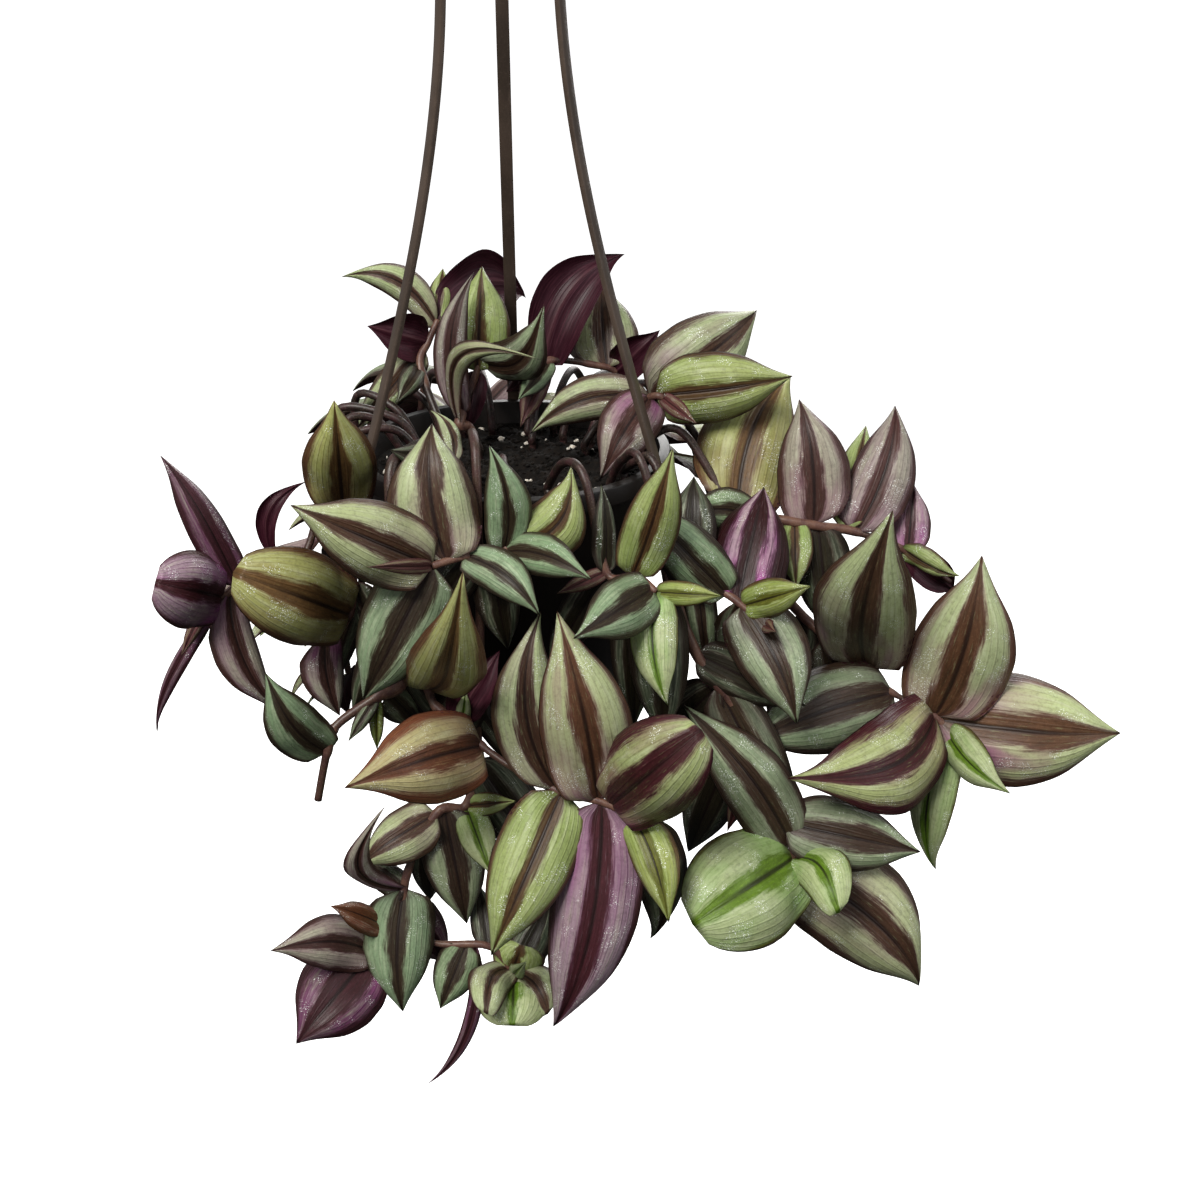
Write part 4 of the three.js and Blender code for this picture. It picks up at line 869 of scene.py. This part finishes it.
def bevelled(piece, width, segments=2, angle=35, sharp=40):
    bevel = piece.modifiers.new("edges", "BEVEL")
    bevel.width = width * mm
    bevel.segments = segments
    bevel.limit_method = "ANGLE"
    bevel.angle_limit = math.radians(angle)
    bevel.harden_normals = False
    settled(piece)
    smoothed(piece.data, sharp)


def cut(piece, tools, operation="DIFFERENCE"):
    for tool in tools:
        step = piece.modifiers.new("cut", "BOOLEAN")
        step.operation = operation
        step.solver = "EXACT"
        step.object = tool
        settled(piece)
        bpy.data.objects.remove(tool)


def lathe(profile, segments):  # profile of radius and height, from the axis round to the axis
    form = Form()
    rings = []
    for r, z in profile:
        if not r:
            rings.append([form.put((0, 0, z))] * segments)
        else:
            rings.append([form.put((x, y, z)) for x, y in circle(r, segments)])
    form.skin(rings)
    return form


def tube(form, path, radii, sides, slot=0, values=None):
    rings = []
    normal = None
    for i, point in enumerate(path):
        along = unit(sub(path[min(i + 1, len(path) - 1)], path[max(i - 1, 0)]))
        if normal is None:
            normal = unit(cross(along, (1, 0, 0) if abs(along[0]) < 0.8 else (0, 1, 0)))
        normal = square(normal, along)
        other = cross(along, normal)
        ring = []
        for x, y in circle(1, sides):
            out = add(times(normal, x), times(other, y))
            ring.append(form.put(add(point, times(out, radii[i])), **(values[i] if values else {})))
        rings.append(ring)
    form.skin(rings, slot, ends=True)


# Leaf colours: the middle's, the bands', the margins' and the wash's, how strong the wash is, and where the
# middle stripe ends and the margin starts, as shares of half the width
tones = {
    "silver": ("3e2a1f", "a1ad80", "3c291e", "764a66", 0.45, 0.2, 0.68),
    "silverDark": ("312319", "829271", "2e2119", "5a4453", 0.4, 0.22, 0.65),
    "cool": ("2c2319", "7e9672", "2a2118", "545c48", 0.3, 0.2, 0.67),
    "green": ("49341f", "929f62", "422a1d", "6c8639", 0.4, 0.15, 0.72),
    "light": ("4f3525", "a6b182", "493125", "8a5674", 0.7, 0.2, 0.7),
    "olive": ("563f24", "9ba162", "4f3422", "7c6240", 0.45, 0.17, 0.68),
    "bright": ("536e1e", "9fab7f", "46361f", "5d9120", 0.45, 0.13, 0.82),
    "young": ("53561f", "8e9852", "49351e", "608227", 0.45, 0.18, 0.7),
    "silverPurple": ("3c2521", "948d80", "3a231f", "80506e", 0.75, 0.22, 0.64),
    "mauve": ("38181d", "98808c", "39201e", "84387a", 0.8, 0.18, 0.7),
    "magenta": ("26070a", "98868e", "24070a", "a81d9c", 1.0, 0.2, 0.4),
    "purple": ("361a1f", "614054", "31161b", "6c325e", 0.6, 0.26, 0.6),
    "wine": ("38161a", "9ba56f", "38141a", "742e54", 0.6, 0.22, 0.6),
    "maroon": ("320d14", "492031", "2a0c11", "4c1632", 0.4, 0.3, 0.66),
    # painted shade: the dark tone is leaf colouring darkened for leaves lying in shade inside the plant
    "dark": ("1d190f", "404b38", "1d1610", "322329", 0.4, 0.28, 0.6),
    "dull": ("2a2014", "5b684e", "271c13", "483940", 0.4, 0.26, 0.6),
    "bud": ("4d2a2a", "6b5641", "4b2527", "69324d", 0.4, 0.3, 0.66),
    "orange": ("553221", "a59a70", "683d29", "8a5a58", 0.7, 0.18, 0.62),
    "dried": ("58341f", "784938", "4b2e19", "5c3221", 0.3, 0.3, 0.7),
}
underTones = {"bright": "5a7030", "young": "54442a", "light": "3a1a22", "dried": "50301f",
              "orange": "4a2622"}
tintNames = ("centreTint", "bandTint", "marginTint", "washTint", "underTint")
# crease, rib and joint are painted shade (streak creases, midrib groove, leaf base and edge); glint is
# painted highlight
leafShades = {
    "creaseShade": (0.012, 0.006, 0.004, 1), "rib": (0.008, 0.003, 0.003, 1), "paleStreak": (0.6, 0.64, 0.46, 1),
    "fringe": (0.1, 0.055, 0.04, 1), "blot": (0.015, 0.008, 0.004, 1), "joint": (0.03, 0.012, 0.01, 1),
    "glint": (0.92, 0.96, 0.92, 1), "underStreak": (0.11, 0.035, 0.05, 1),
    "underVein": (0.02, 0.004, 0.01, 1), "underRib": (0.15, 0.06, 0.07, 1),
    "stemBlotch": (0.05, 0.016, 0.02, 1), "stemFleck": (0.3, 0.22, 0.16, 1)}
leafScales = {"mottle": 900.0, "grains": 2400.0, "blots": 420.0, "clusters": 110.0}


def upperFinish():
    f = Finish("leaf_upper", Coat_Weight=0.05, Coat_Roughness=0.22, Specular_IOR_Level=0.24)
    u, v, seed = f.parts("ShaderNodeSeparateXYZ", f.kept("place", "Vector"))
    middle, edge, washed = f.parts("ShaderNodeSeparateColor", f.kept("marks"))
    here = f.here()
    streaks = f.speckle(f.point(u * 5, v * 14, seed), 1.0, 4.0, 0.62)
    threads = f.speckle(f.point(u * 12, v * 52, seed + 3), 1.0, 3.0, 0.6)
    waves = f.speckle(f.point(u * 2.6, v * 1.1, seed + 7), 1.0, 1.0)
    patches = f.speckle(f.point(u * 2.2, v * 2.0, seed + 19), 1.0, 2.0)
    mottle = f.speckle(here, leafScales["mottle"], 3.0)
    grains = f.speckle(here, leafScales["grains"], 1.0)
    blots = f.speckle(here, leafScales["blots"], 4.0, 0.65)
    clusters = f.speckle(here, leafScales["clusters"], 1.0)
    fromMiddle = abs(v)
    tipward = u.rises(0.6, 1.0)
    reach = fromMiddle + (streaks - 0.5) * 0.2 + (waves - 0.5) * 0.3
    inner = reach.rises(middle - 0.09, middle + 0.09)
    margin = edge + tipward * 0.16
    outer = 1 - reach.rises(margin - 0.2, margin + 0.14)
    soft = inner * outer
    ragged = 1 - abs(soft * 2 - 1)  # most between dark and pale
    band = (soft + (threads - 0.5) * ragged * 1.8).rises(0.12, 0.88)
    veins = 1 - (v * 9 + (waves - 0.5) * 0.5).folded(0.5).rises(0.0, 0.2)
    rib = (1 - fromMiddle.rises(0.01, 0.05)) * (1 - u.rises(0.5, 0.95) * 0.7)
    centreTint, bandTint, marginTint, washTint = [f.kept(name) for name in tintNames[:4]]
    dark = f.mix(fromMiddle.rises(0.4, 0.6), centreTint, marginTint)
    flecks = mottle.rises(0.5, 0.75) * 0.4 + streaks.rises(0.5, 0.75) * 0.6
    dark = f.mix(flecks, dark, centreTint, "SCREEN")
    dark = f.mix(threads.rises(0.56, 0.8) * 0.3, dark, bandTint)
    # painted shade: near-black streaks where the streak noise is low
    dark = f.mix((1 - streaks.rises(0.3, 0.48)) * 0.35, dark, leafShades["creaseShade"])
    # painted shade: the midrib groove darkened to near black
    dark = f.mix(rib * 0.85, dark, leafShades["rib"])
    pale = f.mix(streaks.rises(0.42, 0.72) * 0.3, bandTint, leafShades["paleStreak"])
    pale = f.mix((1 - threads.rises(0.28, 0.46)) * 0.3, pale, dark)
    pale = f.mix((1 - mottle.rises(0.3, 0.55)) * 0.18 + veins * 0.14, pale, dark)
    nearBase = 1 - (u + (waves - 0.5) * 0.5).rises(0.08, 0.55)
    fringe = ragged * (0.3 + threads.rises(0.35, 0.6) * 0.3)
    wash = washed * (nearBase * 0.75 + patches.rises(0.5, 0.66) * 0.5)
    pale = f.mix(wash, pale, washTint)
    colour = f.mix(band * 0.96, dark, pale)
    colour = f.mix(fringe * 0.6, colour, f.mix(0.5, leafShades["fringe"], washTint))
    colour = f.mix((1 - blots.rises(0.3, 0.5)) * 0.22, colour, leafShades["blot"])
    # painted shade: each leaf darkened at its base by the stem and along its edge
    joint = 1 - (u + (streaks - 0.5) * 0.08).rises(0.0, 0.1)
    rim = (fromMiddle + (threads - 0.5) * 0.06).rises(0.93, 0.985)
    colour = f.mix(joint * 0.55 + rim * 0.6, colour, leafShades["joint"])
    # painted highlights: white glints in small clusters on the pale bands
    glints = grains.rises(0.62, 0.68) * clusters.rises(0.55, 0.62) * band
    relief = mottle * 0.45 + grains * 0.2 + streaks * 0.7 + threads * 0.4 + veins * 0.7 - rib * 1.4
    colour = f.mix(glints * 0.9, colour, leafShades["glint"])
    return f.done(colour, mottle * 0.22 + 0.34, relief, 0.6, 0.0003)


def underFinish():
    f = Finish("leaf_under", Coat_Weight=0.03, Coat_Roughness=0.35, Specular_IOR_Level=0.2)
    u, v, seed = f.parts("ShaderNodeSeparateXYZ", f.kept("place", "Vector"))
    streaks = f.speckle(f.point(u * 5, v * 20, seed), 1.0, 3.0)
    veins = 1 - (v * 10).folded(0.5).rises(0.0, 0.2)
    rib = 1 - abs(v).rises(0.0, 0.08)
    paler = f.mix(streaks.rises(0.4, 0.75) * 0.3, f.kept("underTint"), leafShades["underStreak"], "SCREEN")
    colour = f.mix(veins * 0.3, paler, leafShades["underVein"])
    colour = f.mix(rib * 0.25, colour, leafShades["underRib"])
    return f.done(colour, streaks * 0.2 + 0.34, rib * 1.2 + veins * 0.4 + streaks * 0.3, 0.5, 0.0003)


def stemFinish():
    f = Finish("stem", Coat_Weight=0.06, Coat_Roughness=0.3, Specular_IOR_Level=0.35)
    here = f.here()
    blotch = f.speckle(here, 260.0, 3.0)
    fine = f.speckle(here, 1800.0, 2.0)
    colour = f.mix(blotch.rises(0.4, 0.65) * 0.6, f.kept("bandTint"), leafShades["stemBlotch"])
    colour = f.mix(fine.rises(0.5, 0.75) * 0.25, colour, leafShades["stemFleck"])
    return f.done(colour, blotch * 0.2 + 0.34, fine, 0.35, 0.0002)


# underTint is the undersides' own maroon, darkened further as painted shade
foliage = {"rows": 24, "columns": 14, "thick": 0.62, "puff": 0.12, "groove": 0.7, "droop": 0.12,
           "wave": 0.35, "wavesAlong": 9, "waveShift": 2.1, "drawnOut": 0.3, "drawnPart": (0.66, 0.97),
           "rootHalf": 1.1, "rootPart": 0.06, "rowsToTip": 1.15, "columnsOut": 0.98, "jitter": 0.1,
           "underTint": "2c0c17", "stemSides": 10, "sheathLength": 9, "sheathWider": 1.3, "taper": 0.35,
           "stemTint": "453228", "sheathTint": "65483c", "shadedStem": "1c1411", "shade": (30, 110)}
looks = Draws(90210)


def leafShape(blade, u, v, ripple):  # the blade with puffed halves, a grooved midrib and a drawn-out tip
    narrow = 1 if blade["blunt"] else 1 - foliage["drawnOut"] * ease(u, *foliage["drawnPart"])
    root = clamp(foliage["rootHalf"] / (blade["half"] * outline(0, False)), 0, 1)
    narrow *= root + (1 - root) * math.sin(math.pi / 2 * clamp(u / foliage["rootPart"]))
    point = bladePoint(blade, u, v * narrow)
    body = math.sqrt(max(0, math.sin(math.pi * u)))
    puff = foliage["puff"] * blade["half"] * math.sin(math.pi * abs(v) ** 0.9) * body
    groove = foliage["groove"] * math.exp(-((v * 7) ** 2)) * body
    droop = foliage["droop"] * blade["half"] * v ** 4 * body
    phase = ripple + foliage["wavesAlong"] * u + (foliage["waveShift"] if v > 0 else 0)
    waves = foliage["wave"] * v * v * body * math.sin(phase)
    return add(point, times(blade["facing"], puff - groove - droop + waves))


def jittered(colour, amount):
    light = 1 + amount * (2 * looks.next() - 1)
    shifted = [clamp(c * light * (1 + 0.35 * amount * (2 * looks.next() - 1))) for c in colour[:3]]
    return (*shifted, 1.0)


def addLeaf(form, blade):
    *codes, washed, middle, edge = tones[blade["tone"]]
    codes.append(underTones.get(blade["tone"], foliage["underTint"]))
    values = {name: jittered(linear(code), foliage["jitter"]) for name, code in zip(tintNames, codes)}
    washed = clamp(washed * (0.6 + 0.8 * looks.next()))
    values["marks"] = (middle * (0.85 + 0.3 * looks.next()), edge, washed, 1.0)
    seed = 60 * looks.next()
    ripple = 6.3 * looks.next()
    thick = foliage["thick"] * min(1, size(sub(blade["tip"], blade["base"])) / 30)
    rows, columns = foliage["rows"], foliage["columns"]
    bunch = math.pi / 2 * foliage["columnsOut"]
    sides = []
    for under in (0, 1):  # the upper side, then the lower one, which shares its edges
        rings = []
        for i in range(rows):
            u = (i / rows) ** foliage["rowsToTip"]
            ring = []
            for j in range(columns + 1):
                if under and j in (0, columns):
                    ring.append(sides[0][i][j])
                    continue
                across = 2 * j / columns - 1
                v = math.sin(across * bunch) / math.sin(bunch)
                sunk = under * thick * (1 - v * v)
                point = add(leafShape(blade, u, v, ripple), times(blade["facing"], -sunk))
                ring.append(form.put(point, place=(u, across, seed), **values))
            rings.append(ring)
        sides.append(rings)
    tip = form.put(leafShape(blade, 1, 0, ripple), place=(1, 0, seed), **values)
    for slot, rings in enumerate(sides):
        walk = -1 if slot else 1  # the lower side faces the other way
        form.skin([ring[::walk] for ring in rings] + [[tip] * (columns + 1)], slot, closed=False)
    form.face(sides[0][0][::-1] + sides[1][0][1:-1], 1)


def addStem(form, stem):
    path = stem["path"]
    walked = [0]
    for a, b in zip(path, path[1:]):
        walked.append(walked[-1] + size(sub(b, a)))
    whole = walked[-1]
    joints = []
    for blade in stem["blades"]:
        nearest = min(range(len(path)), key=lambda i: size(sub(path[i], blade["base"])))
        joints.append(walked[nearest])
    hidden = stem["name"].startswith("hidden_")
    foot = linear(foliage["shadedStem"])
    # painted shade: hidden stems take the shaded tint all along, and the plain stem tint on their sheaths
    plain = foot if hidden else linear(foliage["stemTint"])
    sheath = linear(foliage["stemTint" if hidden else "sheathTint"])
    blank = {name: (0.1, 0.1, 0.1, 1) for name in (*tintNames, "marks")}
    radii, values = [], []
    for at in walked:
        cover = 0  # how much of a sheath lies round the stem here
        for joint in joints:
            start = joint - foliage["sheathLength"]
            cover = max(cover, ease(at, start - 1.5, start) * (1 - ease(at, joint, joint + 2)))
        taper = 1 - foliage["taper"] * ease(at, whole * 0.5, whole)
        radii.append(stem["radius"] * taper * (1 + (foliage["sheathWider"] - 1) * cover))
        lit = ease(at, *foliage["shade"])  # the start of a stem lies in the shade of the leaves
        skin = [a + (b - a) * lit for a, b in zip(foot, plain)]
        tint = tuple(a + (b - a) * cover for a, b in zip(skin, sheath))
        values.append({**blank, "bandTint": tint, "place": (0, 0, 0)})
    tube(form, path, radii, foliage["stemSides"], 2, values)


finishes = [upperFinish(), underFinish(), stemFinish()]
byNode = {}
for stem in plant.stems:
    node = next(n for n in sorted(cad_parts) if stem["name"] in n.removeprefix("stems_").split("-"))
    byNode.setdefault(node, []).append(stem)
for node, members in byNode.items():
    form = Form()
    for stem in members:
        addStem(form, stem)
        for blade in stem["blades"]:
            addLeaf(form, blade)
    placed(form.object(node.replace("stems_", "foliage_"), finishes), "foliage", node)
print("foliage done,", len(byNode), "pieces")


def plasticFinish(name, low, high, worn):
    f = Finish(name, Coat_Weight=0.04, Coat_Roughness=0.35, Specular_IOR_Level=0.3)
    here = f.here()
    cloud = f.speckle(here, 40.0, 3.0)
    grain = f.speckle(here, 1500.0, 2.0)
    scuffs = f.speckle(f.node("ShaderNodeMapping", None, {0: here, "Scale": (1, 1, 0.12)}), 420.0, 4.0)
    colour = f.mix(cloud.rises(0.35, 0.65), linear(low), linear(high))
    colour = f.mix(grain.rises(0.5, 0.8) * 0.25, colour, linear(worn))
    colour = f.mix(scuffs.rises(0.62, 0.75) * 0.3, colour, linear(worn))
    return f.done(colour, grain * 0.16 + 0.34 + scuffs.rises(0.6, 0.75) * 0.12, grain, 0.25, 0.0002)


strapPlastic = plasticFinish("strap_plastic", "3c322b", "4a3e36", "6a5c52")
# painted shade: the pot is the straps' brown plastic, darkened to near black
shadedPotPlastic = plasticFinish("pot_plastic_painted_shade", "100c0a", "16110e", "241d19")


def makePot():
    top = pot["rimZ"]
    foot = top - pot["height"]
    rim, base, wall, thick = pot["rimRadius"], pot["baseRadius"], pot["wall"], pot["skirtThick"]
    wallTop = rim - thick - pot["ledge"]
    floor = foot + pot["recess"]
    profile = [
        (0, floor), (base - 6.5, floor), (base - 5, foot), (base - 1, foot), (base - 0.3, foot + 0.3),
        (base, foot + 1), (wallTop, top - pot["flange"]), (rim - thick, top - pot["flange"]),
        (rim - thick, top - pot["skirtDepth"]), (rim, top - pot["skirtDepth"]), (rim, top - 0.8),
        (rim - 0.25, top - 0.22), (rim - 0.8, top), (wallTop - wall + 0.6, top), (wallTop - wall, top - 1),
        (base - wall, floor + wall), (0, floor + wall),
    ]
    piece = lathe(profile, pot["segments"]).object("pot_shell", [shadedPotPlastic], pot["sharp"])
    drains = []
    low, high, radius = foot - 6, foot + 6, pot["drainRadius"]
    for x, y in circle(pot["drainRing"], pot["drains"]):
        drain = lathe([(0, low), (radius, low), (radius, high), (0, high)], pot["drainSides"])
        drain.points = [add(p, (x, y, 0)) for p in drain.points]
        drains.append(drain.object("drain", [shadedPotPlastic]))
    cut(piece, drains)
    smoothed(piece.data, pot["sharp"])
    placed(piece, "dark_plastic", "pot")


makePot()
print("pot done")

soil = {"gap": 0.35, "rings": 46, "around": 150, "rough": 0.9, "seed": 1307, "lumpRows": 5, "lumpAround": 8}
crumbs = {"count": 900, "spread": 0.96, "radius": (0.4, 1.3), "raised": 0.2, "flat": 0.7}
grains = {"count": 46, "spread": 0.95, "radius": (0.5, 1.5), "raised": 0.4, "flat": 0.8}


def relief(x, y):
    return (1.1 * math.sin(x * 0.19 + 1) * math.cos(y * 0.17) + 0.8 * math.sin(x * 0.41 + y * 0.33)
            + 0.5 * math.cos(y * 0.7))


def darkSoilAndShadeFinish():
    f = Finish("soil", Specular_IOR_Level=0.15)
    here = f.here()
    lumps = f.speckle(here, 380.0, 4.0)
    fibre = f.speckle(here, 1400.0, 3.0)
    # the soil's own dark brown, darkened further to near black as painted shade
    colour = f.mix(lumps.rises(0.35, 0.7), linear("0a0807"), linear("17120e"))
    colour = f.mix(fibre.rises(0.6, 0.75) * 0.5, colour, linear("2a2019"))
    return f.done(colour, fibre * 0.2 + 0.78, lumps + fibre * 0.5, 0.8, 0.0008)


def grainFinish():
    f = Finish("perlite")
    here = f.here()
    pits = f.speckle(here, 1500.0, 3.0)
    colour = f.mix(pits.rises(0.35, 0.7), linear("b5ab9c"), linear("ece8df"))
    return f.done(colour, pits * 0.2 + 0.7, pits, 0.7, 0.0004)


def lump(form, centre, radius, flat, draws):  # a rough, slightly flattened pebble
    turn = draws.next() * 6.3
    shift = Vector((draws.next(), draws.next(), draws.next())) * 50
    rows, around = soil["lumpRows"], soil["lumpAround"]
    rings = []
    for i in range(1, rows):
        polar = math.pi * i / rows
        ring = []
        for x, y in circle(math.sin(polar), around, turn):
            out = Vector((x, y, math.cos(polar)))
            r = radius * (1 + 0.45 * noise.noise(out * 1.6 + shift))
            ring.append(form.put(add(centre, (out.x * r, out.y * r, out.z * r * flat))))
        rings.append(ring)
    top = form.put(add(centre, (0, 0, radius * flat)))
    bottom = form.put(add(centre, (0, 0, -radius * flat)))
    form.skin([[top] * around, *rings, [bottom] * around], inward=True)


def makeSoil():
    floor = pot["rimZ"] - pot["height"] + pot["recess"] + pot["wall"] + pot["gap"]
    base = pot["baseRadius"] - pot["wall"]
    wallTop = pot["rimRadius"] - pot["skirtThick"] - pot["ledge"] - pot["wall"]

    def wallAt(z):
        return base + (wallTop - base) * (z - floor) / (pot["rimZ"] - 1 - floor)

    edge = wallAt(soilTop) - soil["gap"]

    def surface(x, y):
        inside = 1 - ease(math.hypot(x, y), edge * 0.86, edge * 0.98)
        rough = noise.fractal(Vector((x, y, 3)) * 0.42, 0.9, 2.1, 4)
        return soilTop + (relief(x, y) + soil["rough"] * rough) * inside

    def scatter(form, kind):
        for _ in range(kind["count"]):
            r = edge * kind["spread"] * math.sqrt(draws.next())
            turn = 6.2832 * draws.next()
            x, y = r * math.cos(turn), r * math.sin(turn)
            radius = draws.between(*kind["radius"])
            lump(form, (x, y, surface(x, y) + radius * kind["raised"]), radius, kind["flat"], draws)

    form = Form()
    around = soil["around"]
    rings = [[form.put((0, 0, surface(0, 0)))] * around]
    for i in range(1, soil["rings"] + 1):
        rings.append([form.put((x, y, surface(x, y))) for x, y in circle(edge * i / soil["rings"], around)])
    for r, z in ((edge, soilTop - 1), (wallAt(floor) - soil["gap"], floor)):
        rings.append([form.put((x, y, z)) for x, y in circle(r, around)])
    rings.append([form.put((0, 0, floor))] * around)
    form.skin(rings, inward=True)
    draws = Draws(soil["seed"])
    scatter(form, crumbs)
    placed(form.object("soil_crumbs", [darkSoilAndShadeFinish()]), "soil", "soil")
    pale = Form()
    scatter(pale, grains)
    placed(pale.object("perlite_grains", [grainFinish()]), "soil")


makeSoil()
print("soil done")

hub = {"armRise": 3.4, "armDrop": 2, "armWide": 8, "armDeep": 6, "armReach": 27, "bossRadius": 6.5,
       "bossFoot": 2, "bossEdge": 1.5, "cone": 5, "sides": 40, "edge": 0.5, "sharp": 40}
hook = {"rod": 2.5, "inner": 10, "shankFoot": 44, "shank": 9, "sides": 20, "arc": 10, "fine": 4}
clampZ = pot["rimZ"] + strap["clampAboveRim"]


def makeStrap(number, angle):
    half = strap["thick"] / 2
    outer = [(strap["topRadius"] + half, clampZ + hub["armRise"])]
    inner = [(strap["topRadius"] - half, clampZ + hub["armRise"])]
    for i in range(strap["steps"]):
        share = i / strap["steps"]
        r, z = strapPoint(share)
        r2, z2 = strapPoint(share + 0.01)
        long = math.hypot(r2 - r, z2 - z)
        out, rise = -(z2 - z) / long * half, (r2 - r) / long * half
        outer.append((r + out, z + rise))
        inner.append((r - out, z - rise))
    face = pot["rimRadius"] + pot["gap"]
    back = face + strap["thick"]
    foot = pot["rimZ"] - pot["skirtDepth"] - pot["gap"]
    lip = foot - strap["lip"]
    head = pot["rimZ"] + strap["overRim"]
    clip = [(back, head), (back, lip), (face - strap["tooth"], lip),
            (pot["rimRadius"] - pot["skirtThick"], foot), (face, foot), (face, head)]
    profile = outer + clip + inner[::-1]
    form = Form()
    rows = []
    for aside in (-strap["wide"] / 2, strap["wide"] / 2):
        rows.append([form.put(spun(r, aside, z, angle)) for r, z in profile])
    form.skin(rows, ends=True)
    piece = form.object(f"strap_bar_{number}", [strapPlastic])
    bevelled(piece, strap["edge"])
    placed(piece, "dark_plastic", f"strap_{number}")


for number, angle in enumerate(strap["angles"], 1):
    makeStrap(number, angle)
print("straps done")


def box(low, high, angle):
    form = Form()
    rings = []
    for z in (low[2], high[2]):
        corners = ((low[0], low[1]), (high[0], low[1]), (high[0], high[1]), (low[0], high[1]))
        rings.append([form.put(spun(x, y, z, angle)) for x, y in corners])
    form.skin(rings, ends=True)
    return form.object("box", [strapPlastic])


def hookPath():  # up the shank, aside, and round over the rail
    bend = hook["inner"] + hook["rod"]
    centre = -hook["inner"]
    curve = [(0, -hook["shankFoot"]), (0, hook["shank"] - hook["shankFoot"]),
             (-bend * 0.45, centre - bend * 1.35), (-bend * 0.93, centre - bend * 0.6)]
    for i in range(hook["arc"] + 1):
        turn = math.pi * (1 - i / hook["arc"])
        curve.append((bend * math.cos(turn), centre + bend * math.sin(turn)))
    curve += [(bend * 0.92, centre - bend * 0.45), (bend * 0.98, centre - bend * 0.85)]
    return smooth([(x, 0, z) for x, z in curve], hook["fine"])


def makeHub():
    floor = clampZ - hub["armDrop"]
    ceiling = floor + hub["armDeep"]
    foot = floor - hub["bossFoot"]
    radius = hub["bossRadius"]
    profile = [(0, foot), (radius - hub["bossEdge"], foot), (radius, floor), (radius, ceiling),
               (hook["rod"] + 1, ceiling + hub["cone"]), (0, ceiling + hub["cone"])]
    piece = lathe(profile, hub["sides"]).object("hanger_top", [strapPlastic])
    half = hub["armWide"] / 2
    wide, thick = strap["wide"] / 2 + pot["gap"], strap["thick"] / 2 + pot["gap"]
    x, top = strap["topRadius"], clampZ + hub["armRise"] + pot["gap"]
    arms, sockets = [], []
    for angle in strap["angles"]:
        arms.append(box((0, -half, floor), (hub["armReach"], half, ceiling), angle))
        sockets.append(box((x - thick, -wide, floor - 2), (x + thick, wide, top), angle))
    cut(piece, arms, "UNION")
    cut(piece, sockets)
    bevelled(piece, hub["edge"])
    form = Form()
    path = hookPath()
    tube(form, path, [hook["rod"]] * len(path), hook["sides"])
    cut(piece, [form.object("hook", [strapPlastic], hub["sharp"])], "UNION")
    smoothed(piece.data, hub["sharp"])
    placed(piece, "dark_plastic", "hanger_hub")


makeHub()
print("hub done")
